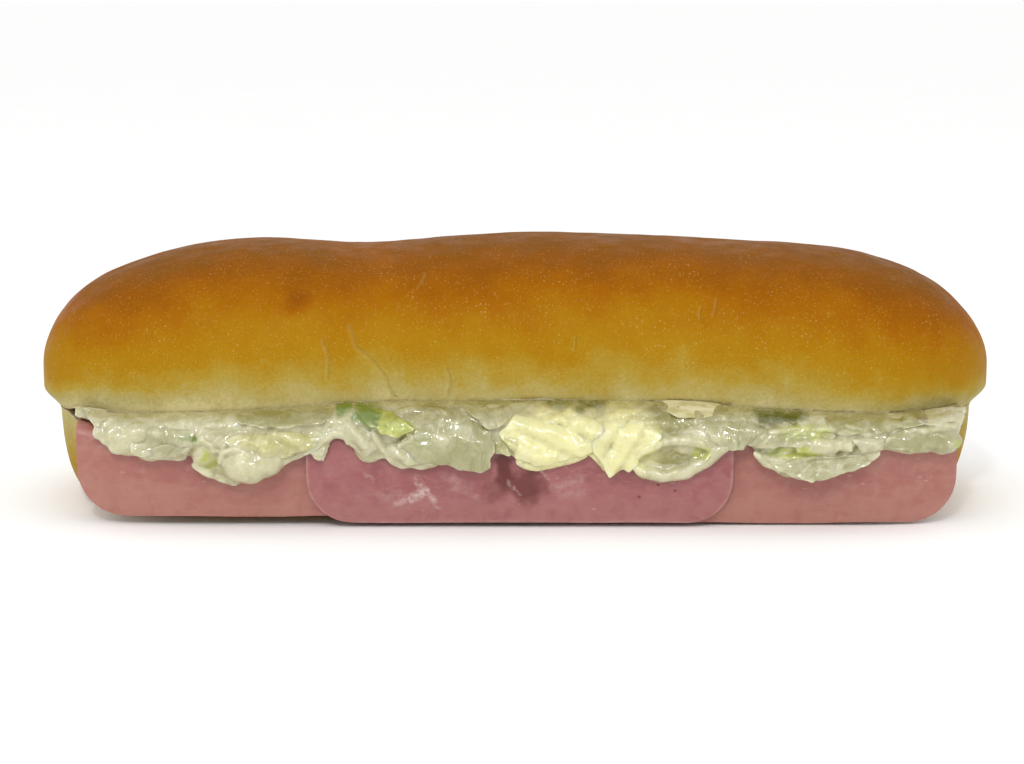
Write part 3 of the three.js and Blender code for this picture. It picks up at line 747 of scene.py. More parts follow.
# soft folds in the mass: a run by x and z, radius, how far they stand out
folds = [
    ([(-92.5, 27.0), (-90.1, 25.1), (-86.6, 21.8)], 0.9, 0.5),
    ([(-77.6, 16.1), (-71.6, 18.0), (-67.3, 19.9)], 0.6, 0.7),
    ([(-79.0, 15.5), (-73.3, 15.1), (-67.7, 15.3)], 0.9, 0.6),
    ([(-66.7, 17.8), (-64.8, 19.1), (-62.8, 18.2), (-62.2, 16.3)], 0.7, 0.9),
    ([(-67.1, 14.0), (-64.6, 12.1), (-61.4, 10.9), (-57.3, 9.4)], 1.0, 0.8),
    ([(-61.6, 13.6), (-60.7, 16.5), (-57.9, 17.8), (-55.4, 16.5), (-54.0, 16.1), (-51.1, 17.6)], 0.6, 1.3),
    ([(-52.3, 15.9), (-48.2, 17.0), (-43.7, 18.6), (-40.0, 19.7)], 0.8, 0.8),
    ([(-49.5, 13.6), (-44.5, 15.9), (-40.4, 17.6)], 0.8, 0.7),
    ([(-41.2, 16.5), (-39.6, 14.6)], 0.6, 0.3),
    ([(-40.8, 18.0), (-38.4, 20.3), (-35.9, 20.3), (-33.4, 18.2), (-31.0, 15.3)], 0.9, 0.7),
    ([(-29.8, 20.7), (-28.1, 17.8), (-25.7, 15.7)], 0.8, 0.8),
    ([(-27.3, 15.5), (-24.0, 14.0), (-20.5, 13.6), (-15.8, 14.2)], 0.8, 0.8),
    ([(-24.8, 17.8), (-21.5, 19.1), (-17.9, 17.8), (-16.2, 15.9)], 0.9, 1.3),
    ([(-23.2, 20.7), (-19.1, 19.7), (-15.0, 20.5)], 0.7, 0.9),
    ([(-3.9, 20.7), (-0.8, 18.2), (3.1, 17.0), (8.0, 17.2), (12.9, 18.6), (15.8, 19.1)], 1.6, 0.6),
    ([(5.3, 21.8), (6.8, 23.5), (9.4, 23.7), (10.7, 21.8)], 0.9, 0.5),
    ([(-0.6, 14.6), (4.3, 13.2), (10.1, 14.9), (14.6, 15.5)], 1.1, 0.5),
    ([(19.9, 24.5), (18.3, 19.9), (17.9, 15.3), (18.5, 12.1)], 1.1, 0.3),
    ([(26.1, 23.3), (23.6, 19.1), (22.2, 15.9), (22.8, 13.2)], 1.0, 0.3),
    ([(23.6, 13.8), (26.3, 12.1), (29.8, 11.5), (34.3, 12.1), (38.4, 14.2), (41.0, 16.7), (44.1, 18.2)], 1.5, 1.3),
    ([(23.2, 14.6), (26.1, 17.0), (29.3, 18.4), (33.0, 19.1), (37.1, 18.8), (40.0, 17.2)], 1.2, 1.2),
    ([(38.8, 19.9), (42.1, 21.2), (46.2, 20.3)], 0.8, 0.6),
    ([(37.5, 23.7), (42.5, 24.1), (47.4, 23.3)], 0.8, 0.3),
    ([(48.2, 17.0), (51.7, 14.2), (55.8, 12.3), (60.5, 11.3), (64.4, 11.9), (70.0, 14.0), (75.3, 16.7)], 1.2, 1.7),
    ([(57.2, 17.2), (60.1, 18.2), (63.8, 18.6), (67.5, 18.0), (68.7, 16.5)], 1.5, 1.5),
    ([(49.9, 20.3), (56.0, 21.2), (62.6, 21.6), (68.3, 21.2)], 0.8, 0.6),
    ([(67.5, 22.4), (71.6, 20.7), (75.3, 19.1)], 0.8, 0.8),
    ([(70.4, 16.5), (73.7, 18.2), (76.1, 19.9)], 0.9, 0.8),
    ([(76.9, 19.1), (81.9, 20.7), (87.6, 21.6), (91.3, 21.2)], 0.8, 0.9),
    ([(78.6, 17.0), (84.3, 16.5), (89.3, 16.5)], 0.8, 0.5),
    ([(89.9, 22.4), (92.5, 24.9), (94.4, 27.4)], 0.9, 0.5),
]
# leaf seen through the dressing: middle, half width and height, finish, how strongly; the olive entries in the hollows
# and up under the upper lip are partly the leaf's olive tone, partly painted shade
tints = [
    ((-56.0, 13.9), (4.6, 3.9), 'bright', 1.5), ((-51.6, 14.6), (3.4, 2.6), 'bright', 1.0),
    ((-80.8, 18.2), (4.4, 2.8), 'bright', 0.8), ((-15.6, 18.8), (2.6, 1.9), 'bright', 0.8),
    ((-22.0, 16.4), (4.0, 2.2), 'bright', 0.6), ((38.4, 19.2), (4.6, 2.0), 'bright', 1.0),
    ((31.0, 12.4), (8.4, 1.4), 'bright', 0.9), ((64.6, 18.3), (4.6, 1.5), 'bright', 1.0),
    ((52.4, 14.4), (4.0, 1.6), 'bright', 0.7), ((-34.6, 20.4), (3.6, 2.0), 'bright', 0.5),
    ((88.0, 23.6), (4.4, 2.0), 'bright', 0.5), ((-72.0, 20.3), (4.9, 1.9), 'pale', 0.7), ((-63.6, 14.9), (1.8, 2.1), 'lime', 1.3),
    ((-67.7, 19.5), (1.4, 0.8), 'green', 1.5), ((-46.6, 19.1), (4.9, 1.7), 'yellow', 1.1),
    ((-48.6, 24.1), (10.3, 1.9), 'rib', 0.8), ((-35.7, 25.6), (1.8, 1.5), 'green', 1.4),
    ((-31.0, 24.5), (2.9, 2.3), 'green', 1.6), ((-23.6, 21.6), (2.9, 1.5), 'lime', 1.5),
    ((-15.8, 18.0), (9.0, 5.0), 'rib', 0.9), ((-16.6, 24.5), (7.4, 1.9), 'olive', 0.9),
    ((11.7, 26.2), (6.6, 1.3), 'deep', 1.2), ((8.8, 18.0), (11.5, 7.2), 'butter', 1.4),
    ((22.4, 18.4), (7.0, 7.2), 'butter', 1.4), ((31.4, 23.7), (5.5, 3.1), 'olive', 1.4),
    ((31.0, 15.5), (5.3, 1.5), 'olive', 1.7), ((38.0, 16.7), (1.4, 1.5), 'lime', 1.7),
    ((43.7, 23.3), (6.6, 2.5), 'olive', 0.8), ((54.6, 24.6), (5.4, 1.5), 'deep', 1.0),
    ((59.3, 20.9), (5.3, 1.5), 'lime', 0.9), ((57.2, 16.5), (4.9, 1.3), 'lime', 1.9),
    ((70.4, 23.3), (6.2, 1.7), 'olive', 0.8), ((83.7, 19.1), (7.4, 2.9), 'rib', 0.9),
    ((91.1, 18.0), (1.2, 1.3), 'lime', 1.5), ((-58.9, 26.0), (8.2, 0.8), 'olive', 0.9),
    ((-69.2, 25.6), (10.3, 0.8), 'olive', 0.9), ((-3.5, 26.6), (8.2, 0.8), 'olive', 0.9),
    ((78.6, 25.1), (8.2, 0.8), 'olive', 0.9), ((-1.4, 18.0), (1.6, 2.1), 'olive', 1.3)
]
# lettuce pieces that show at the front: middle and outline by x and z, how far they stand out of the mass,
# how far the rim stands out when cupped, and a fold's height, closeness and direction
leafPieces = [
    {"name": "wisp", "at": (-88.1, 24.1), "out": 0.3, "tilt": 0.5, "thickness": 1.1, "cup": 0.3, "fold": (0.2, 0.8, 20), "finish": "cream",
     "outline": [(-3.5, 2.2), (-1.5, 1.5), (2.7, 0.2), (3.9, -0.6), (1.5, -2.5), (-0.2, -1.7), (-2.9, 0.9)]},
    {"name": "left leaf", "at": (-72.9, 19.6), "out": 0.35, "tilt": 0.7, "thickness": 1.2, "cup": 0.3, "fold": (0.3, 1.1, 70), "finish": "pale",
     "outline": [(-9.0, 2.8), (-4.5, 4.1), (1.7, 3.9), (7.0, 2.8), (6.4, -1.8), (5.0, -3.7), (-0.4, -4.3), (-6.1, -3.9)]},
    {"name": "left fold", "at": (-71.2, 17.4), "out": 0.9, "tilt": 0.5, "thickness": 1, "cup": 0.6, "fold": (0.25, 0.9, 60), "finish": "pale",
     "outline": [(-6.2, -0.9), (-1.0, 1.0), (4.5, 2.9), (4.7, 1.0), (2.1, -1.7), (-4.1, -2.2)]},
    {"name": "long rib", "at": (-48.0, 24.2), "out": 0.25, "tilt": 0.5, "thickness": 1.3, "cup": 0.4, "fold": (0.2, 0.5, 0), "finish": "olive",
     "outline": [(-10.9, 0.8), (-4.7, 2.0), (9.6, 2.5), (10.4, 0.4), (8.0, -1.7), (-2.7, -2.4), (-9.7, -1.5)]},
    {"name": "slant leaf", "at": (-49.4, 18.2), "out": 0.9, "tilt": 0.8, "thickness": 1.1, "cup": -0.3, "fold": (0.4, 1.4, 60), "finish": "yellow",
     "outline": [(-11.2, 0.9), (-5.4, 3.4), (4.8, 4.2), (10.2, 3.0), (9.3, 0.0), (4.8, -1.6), (-0.9, -3.7), (-3.8, -4.6), (-7.9, -1.6)]},
    {"name": "drip", "at": (-41.0, 16.7), "out": 0.3, "tilt": 0.5, "thickness": 1.1, "cup": 0.2, "fold": (0.1, 1, 0), "finish": "cream",
     "outline": [(-2.9, 0.9), (1.6, 2.5), (1.6, -0.2), (0.6, -2.4), (-1.0, -0.8)]},
    {"name": "bridge", "at": (-34.1, 19.8), "out": 0.4, "tilt": 0.5, "thickness": 1.5, "cup": -0.8, "fold": (0.5, 0.9, 40), "finish": "cream",
     "outline": [(-5.1, 3.4), (-0.2, 4.3), (4.3, 1.3), (5.5, -2.0), (3.1, -4.5), (0.2, -2.0), (-2.7, -0.6), (-5.1, 0.1)]},
    {"name": "green strip", "at": (-30.7, 24.3), "out": 0.9, "tilt": 0.5, "thickness": 0.8, "cup": 0.4, "fold": (0.2, 1, 30), "finish": "green",
     "outline": [(-3.1, 1.9), (-1.1, 2.1), (1.8, 0.7), (3.0, -1.9), (1.0, -2.3), (-1.5, -0.6)]},
    {"name": "green tip", "at": (-26.2, 22.5), "out": 1.3, "tilt": 0.5, "thickness": 0.9, "cup": 0.5, "fold": (0.2, 0.8, 30), "finish": "lime",
     "outline": [(-3.5, 3.1), (0.8, 2.0), (5.5, -0.7), (2.2, -2.6), (-1.3, -2.2), (-3.7, 0.3)]},
    {"name": "broad rib", "at": (-12.5, 17.9), "out": 0.9, "tilt": 0.7, "thickness": 1.8, "cup": 0.2, "fold": (0.2, 0.8, 80), "finish": "rib",
     "outline": [(-11.6, 1.2), (-5.4, 6.6), (2.8, 6.2), (7.3, 4.1), (7.9, -0.5), (6.5, -5.1), (4.9, -5.6), (-3.4, -3.9), (-9.1, -3.0)]},
    {"name": "foam leaf", "at": (-21.5, 16.5), "out": 1.0, "tilt": 0.5, "thickness": 1.2, "cup": -0.6, "fold": (0.45, 1.2, 50), "finish": "cream",
     "outline": [(-5.8, 0.0), (-4.1, 3.4), (1.6, 2.6), (5.7, -0.8), (4.1, -2.7), (-1.5, -2.5)]},
    {"name": "fibre chip", "at": (-6.0, 24.1), "out": 0.9, "tilt": 0.5, "thickness": 0.8, "cup": 0.2, "fold": (0.2, 1.6, 130), "finish": "pale",
     "outline": [(-5.1, 1.2), (-3.8, 2.1), (4.4, 1.9), (5.6, 0.2), (1.7, -2.6), (-0.1, -2.5), (-2.6, -0.3)]},
    {"name": "dark chip", "at": (-3.6, 18.2), "out": 0.0, "tilt": 0.5, "thickness": 1.2, "cup": 0.3, "fold": (0.2, 1, 0), "finish": "olive",
     "outline": [(-1.7, 3.1), (-0.7, 2.1), (2.6, -1.1), (2.4, -2.5), (-1.1, -1.9), (-1.3, 0.3)]},
    {"name": "heart leaf", "at": (6.3, 19.3), "out": 0.75, "tilt": 0.6, "thickness": 1.2, "cup": -0.4, "fold": (0.5, 1.1, 62), "finish": "butter",
     "outline": [(-10.6, 1.4), (-7.7, 4.3), (-5.7, 6.4), (2.5, 7.1), (10.7, 6.0), (12.0, 1.8), (10.7, -2.0), (6.2, -3.9), (1.9, -4.9), (-1.6, -5.8), (-4.4, -4.9), (-6.5, -4.1), (-7.7, -1.5)]},
    {"name": "heart tips", "at": (22.4, 17.7), "out": 1.0, "tilt": 0.8, "thickness": 1.1, "cup": -0.3, "fold": (0.5, 1.2, 150), "finish": "butter",
     "outline": [(-7.4, 7.2), (2.8, 8.1), (4.9, 5.5), (7.7, 2.4), (4.9, -0.3), (2.8, -2.7), (0.6, -5.4), (-0.5, -4.5), (-3.3, -6.6), (-5.4, -3.3), (-7.0, -0.3)]},
    {"name": "thin layer", "at": (44.5, 20.7), "out": 0.8, "tilt": 0.5, "thickness": 1, "cup": 0.4, "fold": (0.35, 0.8, 80), "finish": "pale",
     "outline": [(-6.9, 3.0), (1.3, 4.3), (4.7, 2.6), (4.7, -0.8), (1.9, -3.7), (-1.2, -3.7), (-4.5, -1.6)]},
    {"name": "deep leaf", "at": (54.4, 24.2), "out": 0.9, "tilt": 0.3, "thickness": 0.7, "cup": 0.2, "fold": (0.2, 1.2, 10), "finish": "deep",
     "outline": [(-5.6, 0.6), (-4.2, 2.4), (4.8, 2.3), (6.0, 0.6), (2.4, -1.5), (-1.0, -0.9), (-4.4, -1.8)]},
    {"name": "middle layer", "at": (54.1, 20.2), "out": 0.6, "tilt": 0.5, "thickness": 1.1, "cup": 0.5, "fold": (0.35, 0.7, 10), "finish": "pale",
     "outline": [(-10.4, 2.2), (-0.1, 2.6), (10.1, 2.2), (11.8, -0.7), (4.0, -2.4), (-6.3, -2.6), (-9.1, -1.2)]},
    {"name": "boat", "at": (61.4, 14.6), "out": 1.3, "tilt": 1.9, "thickness": 1.1, "cup": 0.5, "fold": (0.2, 0.9, 15), "finish": "pale",
     "outline": [(-12.9, 2.8), (-7.4, 2.4), (-0.2, 1.5), (7.0, 1.3), (14.1, 2.4), (10.6, -1.0), (4.9, -2.7), (-0.8, -3.8), (-5.4, -2.7), (-9.9, -0.2)]},
    {"name": "boat end", "at": (72.7, 18.5), "out": 0.8, "tilt": 0.5, "thickness": 1.3, "cup": -0.4, "fold": (0.3, 0.9, 20), "finish": "cream",
     "outline": [(-4.4, 1.0), (0.2, 2.2), (3.4, 0.5), (2.6, -1.6), (-1.9, -2.2)]},
    {"name": "right layer", "at": (73.2, 22.7), "out": 0.3, "tilt": 0.5, "thickness": 1.1, "cup": 0.3, "fold": (0.3, 0.7, 10), "finish": "olive",
     "outline": [(-10.2, 1.4), (-0.8, 2.2), (11.5, 2.2), (12.4, -0.3), (3.3, -2.0), (-6.9, -2.4), (-9.4, -1.1)]},
    {"name": "right rib", "at": (85.1, 18.9), "out": 0.9, "tilt": 0.5, "thickness": 1.5, "cup": 0.3, "fold": (0.3, 1.0, 80), "finish": "rib",
     "outline": [(-9.4, 0.7), (-3.4, 3.1), (1.3, 3.5), (6.0, 1.8), (7.3, -0.3), (6.8, -1.6), (4.6, -3.5), (-3.4, -2.4), (-9.8, -1.4)]},
    {"name": "right wisp", "at": (89.5, 24.6), "out": 0.4, "tilt": 0.5, "thickness": 1.1, "cup": 0.2, "fold": (0.2, 0.8, 0), "finish": "cream",
     "outline": [(5.1, 4.3), (5.5, 2.0), (1.6, -0.3), (1.2, -2.2), (-3.1, -2.9), (-7.8, -1.8), (-4.0, -0.1), (1.6, 1.1)]},
]
leafFinish = {
    "bright": ((0.54, 0.52, 0.31), (0.54, 0.52, 0.31)), "cream": ((0.50, 0.48, 0.32), (0.45, 0.43, 0.26)), "pale": ((0.42, 0.40, 0.24), (0.35, 0.34, 0.17)),
    "yellow": ((0.52, 0.50, 0.27), (0.48, 0.45, 0.18)), "butter": ((0.74, 0.72, 0.42), (0.70, 0.67, 0.32)),
    # 'olive' serves the olive leaf pieces and, in the tints, partly painted shade in hollows and under the lip
    "rib": ((0.36, 0.35, 0.18), (0.31, 0.30, 0.13)), "olive": ((0.30, 0.28, 0.11), (0.25, 0.23, 0.06)),
    "cup": ((0.42, 0.40, 0.24), (0.32, 0.30, 0.13)), "lime": ((0.42, 0.46, 0.12), (0.38, 0.42, 0.06)),
    "green": ((0.21, 0.29, 0.06), (0.16, 0.24, 0.03)), "deep": ((0.09, 0.11, 0.004), (0.07, 0.09, 0.002)),
}
leaf = {"cell": 0.72, "ruffle": 0.3, "crinkle": 0.42, "ragged": 0.55, "film": 0.3,
        "bare": {"deep": 0.85, "green": 0.5, "lime": 0.4}}  # finishes with less dressing on them


def makeDressingMaterial():
    settings = {"Specular IOR Level": 0.5, "Subsurface Weight": 0.4, "Subsurface Radius": (1.0, 0.8, 0.5),
                "Subsurface Scale": 0.0011, "Coat Weight": 0.7, "Coat Roughness": 0.06}
    material, tree, shader, point = newMaterial("mayonnaise", settings)
    soft = noiseValue(tree, point, 4.2, 4, 0.55, 0.8)
    colour = colourRamp(tree, soft, [(0.32, (0.36, 0.335, 0.16)), (0.5, (0.455, 0.43, 0.255)), (0.66, (0.535, 0.515, 0.335))])
    tone = addNode(tree, "Attribute", {"attribute_name": "tone"})
    smear = fade(tree, noiseValue(tree, point, 2.2, 4, 0.6, 0.8), 0.3, 0.66, 1.0, 0.35)
    colour = blendColours(tree, calc(tree, "MULTIPLY", tone.outputs["Alpha"], smear, clampIt=True), colour, tone.outputs["Color"])
    # painted shade in the creases and under the lip, painted highlight on the crests
    colour = paintCreaseShadeCrestLight(tree, point, colour)
    height = calc(tree, "MULTIPLY_ADD", noiseValue(tree, point, 1.2, 3), 0.6, soft)
    feed(tree, shader, colour, fade(tree, smear, 0.3, 0.9, 0.14, 0.3), height, 0.6, 0.0009)
    return material


def paintCreaseShadeCrestLight(tree, point, colour):  # painted highlight: whiter on the crests; painted shade: olive in the creases, and up under the lip a darkening that is partly painted shade, partly the olive tone of translucent leaf
    hollow = addNode(tree, "Attribute", {"attribute_name": "hollow"}).outputs["Fac"]
    # painted shade in the creases
    colour = blendColours(tree, fade(tree, hollow, 0.04, 0.8, 0.0, 0.8), colour, (0.20, 0.18, 0.045))
    # painted highlight on the crests
    colour = blendColours(tree, fade(tree, hollow, -0.08, -0.8, 0.0, 0.7), colour, (0.66, 0.64, 0.44))
    height = addNode(tree, "SeparateXYZ", None, {0: point}).outputs[2]
    # painted shade up under the upper lip, partly the olive tone of the translucent leaf there
    return blendColours(tree, fade(tree, height, 21.0, 26.5), colour, (0.76, 0.70, 0.50), "MULTIPLY")


def makeLeafMaterial():
    settings = {"Specular IOR Level": 0.5, "Subsurface Weight": 0.45, "Subsurface Radius": (1.0, 1.0, 0.45),
                "Subsurface Scale": 0.001, "Coat Weight": 0.75, "Coat Roughness": 0.06}
    material, tree, shader, point = newMaterial("dressed lettuce", settings)
    leafy = addNode(tree, "Attribute", {"attribute_name": "leafColour"})
    base = leafy.outputs["Color"]
    place = addNode(tree, "Attribute", {"attribute_name": "leafPlace"}).outputs["Vector"]
    fibres = noiseValue(tree, stretched(tree, place, (0.25, 1.7, 1)), 1.0, 4, 0.6, 0.8)
    lighter = blendColours(tree, 0.36, base, (0.66, 0.65, 0.46))
    colour = blendColours(tree, fade(tree, fibres, 0.42, 0.72, 0.0, 0.3), base, lighter)
    film = noiseValue(tree, point, 3.4, 4, 0.6, 0.2)
    # painted shade: darker streaks along the leaf stand for the shade in its folds
    streaks = noiseValue(tree, stretched(tree, place, (0.3, 1.1, 1)), 1.7, 3, 0.6, 1.2)
    colour = blendColours(tree, fade(tree, streaks, 0.5, 0.36, 0.0, 0.8), colour, (0.80, 0.77, 0.58), "MULTIPLY")
    wet = calc(tree, "MULTIPLY", fade(tree, film, 0.44, 0.68, 0.0, 0.9), leafy.outputs["Alpha"])
    colour = blendColours(tree, wet, colour, lighter)
    tone = addNode(tree, "Attribute", {"attribute_name": "tone"})
    smear = fade(tree, noiseValue(tree, point, 2.2, 4, 0.6, 0.8), 0.3, 0.66, 0.8, 0.2)
    colour = blendColours(tree, calc(tree, "MULTIPLY", tone.outputs["Alpha"], smear, clampIt=True), colour, tone.outputs["Color"])
    # painted shade in the creases and under the lip, painted highlight on the crests
    colour = paintCreaseShadeCrestLight(tree, point, colour)
    height = calc(tree, "MULTIPLY_ADD", film, 0.9, calc(tree, "MULTIPLY", fibres, 0.45))
    feed(tree, shader, colour, fade(tree, film, 0.35, 0.7, 0.15, 0.3), height, 0.45, 0.0008)
    return material


def hemAt(x):
    for (startX, startZ), (endX, endZ) in zip(hemLine, hemLine[1:]):
        if x <= endX:
            return lerp(startZ, endZ, clamp((x - startX) / (endX - startX)))
    return hemLine[-1][1]


def riseAt(x):  # from the turn over the bed's lip up to the upper lip
    bendY, bendZ = bendAt(x)
    return roofAt(x, bendY) + 0.7 - bendZ


def underAt(x):  # clear of the ham, also where the middle slice lies over the others
    over = 1 - smoothstep(abs(x - 0.6), 44.4, 45.6)
    return overHam + salad["clear"] + over * (ham["thickness"] + ham["gap"])


def billows(x, z):  # rounded lumps with narrow creases between them
    warp = 1.6 * wander((x, z, 3), 6, 2)
    return sum(height * (abs(wander((x + warp, z * 1.15 - warp, size), size, size)) - 0.25)
               for height, size in salad["billows"])


def faceOff(x, z):  # how far the salad's face stands from the bread
    top = roofAt(x, -roll["halfDepth"])
    share = clamp((top - z) / max(top - hemAt(x), 1))
    edge = math.sqrt(max(0.0, 1 - abs((x - salad["middle"]) / salad["halfLength"]) ** 6))
    swell = salad["bulge"] * (0.35 + 0.65 * edge) * math.sqrt(1 - 0.72 * share ** 2)
    return max(overHam + swell + billows(x, z), underAt(x) + 0.6)


def frontY(x, z, off):  # a full face, drawn in under the upper lip
    bendY, bendZ = bendAt(x)
    radius = ham["lipRadius"] + off
    if z > bendZ:
        full = salad["fullness"]
        y = bendY - radius * (1 - min((z - bendZ) / riseAt(x), 0.995) ** full) ** (1 / full)
    else:
        y = bendY - radius + ham["tuck"] * ((bendZ - z) / bendZ) ** 2
    return y + salad["topInset"] * smoothstep(z, 21.5, 26.5)


def underRoof(point):  # what comes near the upper lip is pressed up against it
    outside = smoothstep(-point.y - crustDepth(point.x, cut["roofHeight"]), -0.8, 0.6)
    allowed = 0.75 + 0.7 * smoothstep(abs(point.x), 76, 90)
    point.z = min(point.z, roofAt(point.x, point.y) - 0.1 + allowed * outside)
    return point


def addMass(bm):  # the mass at the front, from its lower edge up to the lip and a little way in
    columns, rows = 300, 56
    inner = 10
    for vert in addSlab(bm, columns, rows):
        row = round((1 - vert.co.y) / 2 * rows)
        x = salad["middle"] + vert.co.x * salad["halfLength"]
        bendY, bendZ = bendAt(x)
        under, hem = underAt(x), hemAt(x) + 0.35 * wander((x, 0, 0), 2.2, 9)
        if row < inner:
            y = bendY + salad["frontReach"] * (1 - row / inner)
            vert.co = (x, y, roofAt(x, y) - 0.1 if vert.co.z > 0.5 else bedAt(x, y) + under)
            continue
        share = (row - inner) / (rows - inner)
        if vert.co.z < 0.5:
            vert.co = drape(x, share * max(runTo(x, hem, under), 0.5), under)
            continue
        turn = min(share / 0.42, 1) * math.pi / 2
        z = bendZ + riseAt(x) * max(math.cos(turn), 0) ** (2 / salad["fullness"])
        if share > 0.42:
            z = lerp(bendZ, min(hem, bendZ), (share - 0.42) / 0.58)
        z = max(z, hem)
        vert.co = underRoof(Vector((x, frontY(x, z, faceOff(x, z)), z)))


def addInside(bm):  # the rest of the filling, out of sight between the halves
    for vert in addSlab(bm, 60, 14):
        x = salad["middle"] + vert.co.x * salad["halfLength"]
        edge = math.sqrt(max(0.0, 1 - vert.co.x ** 6))
        y = lerp(bendAt(x)[0] + 0.6 * salad["frontReach"], max(salad["innerEdge"] * edge, bendAt(x)[0] + 7), (vert.co.y + 1) / 2)
        uneven = 0.4 * wander((x, y, 0), 5, 2)
        vert.co = (x, y, roofAt(x, y) - 0.5 + uneven if vert.co.z > 0.5 else bedAt(x, y) + underAt(x))


def addFold(bm, run, radius, out):  # a soft rope of dressing along the run
    lengths = [math.hypot(endX - startX, endZ - startZ) for (startX, startZ), (endX, endZ) in zip(run, run[1:])]
    whole = sum(lengths)

    def pointAt(share):
        left = share * whole
        for (startX, startZ), (endX, endZ), length in zip(run, run[1:], lengths):
            if left <= length or (endX, endZ) == run[-1]:
                return Vector((lerp(startX, endX, left / length), 0, lerp(startZ, endZ, left / length)))
            left -= length

    rings = max(8, round(whole / 0.6))
    for vert in bmesh.ops.create_uvsphere(bm, u_segments=10, v_segments=rings, radius=1)["verts"]:
        share = clamp(0.5 + math.asin(clamp(vert.co.z, -1, 1)) / math.pi)
        middle = pointAt(share)
        middle.x += 0.5 * wander((middle.x, middle.z, 1), 3, 4)
        middle.z += 0.5 * wander((middle.x, middle.z, 6), 3, 4)
        along = (pointAt(min(share + 0.04, 1)) - pointAt(max(share - 0.04, 0))).normalized()
        turned = math.atan2(vert.co.y, vert.co.x)
        size = radius * (1 + 0.35 * wander((middle.x, middle.z, 0), 2.5, 5))
        size *= min(1, 8 * share, 8 * (1 - share)) ** 0.5 if 0.01 < share < 0.99 else 0
        x, z = middle.x - along.z * size * math.cos(turned), middle.z + along.x * size * math.cos(turned)
        lift = out - size + size * 1.2 * math.sin(turned)
        vert.co = underRoof(Vector((x, frontY(x, z, faceOff(middle.x, middle.z) + lift), z)))


def noteHollows(piece, rounds, reach):  # marks crests and creases by how far smoothing would move them
    calm = piece.copy()
    calm.data = piece.data.copy()
    bpy.context.scene.collection.objects.link(calm)
    ease = calm.modifiers.new("ease", "SMOOTH")
    ease.factor, ease.iterations = 0.5, rounds
    eased = calm.evaluated_get(bpy.context.evaluated_depsgraph_get()).data
    marks = piece.data.attributes.new("hollow", "FLOAT", "POINT")
    for vert, moved, mark in zip(piece.data.vertices, eased.vertices, marks.data):
        mark.value = clamp((moved.co - vert.co).dot(vert.normal) / reach, -1, 1)
    spare = calm.data
    bpy.data.objects.remove(calm)
    bpy.data.meshes.remove(spare)


def noteTones(piece):  # which leaf lies under the dressing there, with the olive tints in hollows and under the lip partly painted shade
    marks = piece.data.attributes.new("tone", "FLOAT_COLOR", "POINT")
    for vert, mark in zip(piece.data.vertices, marks.data):
        x, y, z = vert.co
        colour, cover = (0.5, 0.5, 0.3), 0.0
        if y < -30:
            x, z = x + 1.1 * wander((x, z, 0), 2.4, 1), z + 1.1 * wander((x, z, 0), 2.4, 8)
            for (atX, atZ), (halfX, halfZ), finish, strength in tints:
                away = ((x - atX) / halfX) ** 2 + ((z - atZ) / halfZ) ** 2
                if away < 1.6:
                    share = strength * (1 - smoothstep(away, 0.5, 1.6))
                    colour = [lerp(a, b, share / max(share + cover, 0.001)) for a, b in zip(colour, leafFinish[finish][1])]
                    cover = max(cover, share)
        mark.color = (*colour, cover)


def makeDressing():
    bm = bmesh.new()
    for order, spec in enumerate(leafPieces):
        addLeaf(bm, None, spec, order)
    for run, radius, out in folds:
        addFold(bm, run, radius, out)
    for (x, z), out, size in lumps:
        middle = Vector((x, frontY(x, z, faceOff(x, z) + out - size[1] * 0.8), z))
        for vert in bmesh.ops.create_uvsphere(bm, u_segments=28, v_segments=18, radius=1)["verts"]:
            grow = 1 + 0.10 * wander(vert.co, 0.8, x)
            place = Vector((vert.co.x * size[0], vert.co.y * size[1], vert.co.z * size[2])) * grow
            vert.co = underRoof(place + middle)
    addMass(bm)
    dressing = newObject("salad_dressing", bm, [makeDressingMaterial()])
    remesh = dressing.modifiers.new("melt", "REMESH")
    remesh.mode, remesh.voxel_size = "VOXEL", salad["voxel"]
    smooth = dressing.modifiers.new("ease", "SMOOTH")
    smooth.factor, smooth.iterations = 0.5, 3
    applyModifiers(dressing)
    bm = bmesh.new()
    addInside(bm)
    bm.from_mesh(dressing.data)
    bm.to_mesh(dressing.data)
    bm.free()
    noteHollows(dressing, 14, 0.27)
    noteTones(dressing)
    finishPiece(dressing, "salad")


def rimRadius(outline, angle):  # distance from the middle to the outline in that direction
    best = 0.0
    cosA, sinA = math.cos(angle), math.sin(angle)
    for (ax, az), (bx, bz) in zip(outline, outline[1:] + outline[:1]):
        ex, ez = bx - ax, bz - az
        across = cosA * ez - sinA * ex
        if abs(across) < 1e-9:
            continue
        reach = (ax * ez - az * ex) / across
        share = (ax * sinA - az * cosA) / across
        if reach > 0 and -1e-6 <= share <= 1 + 1e-6:
            best = max(best, reach)
    return best


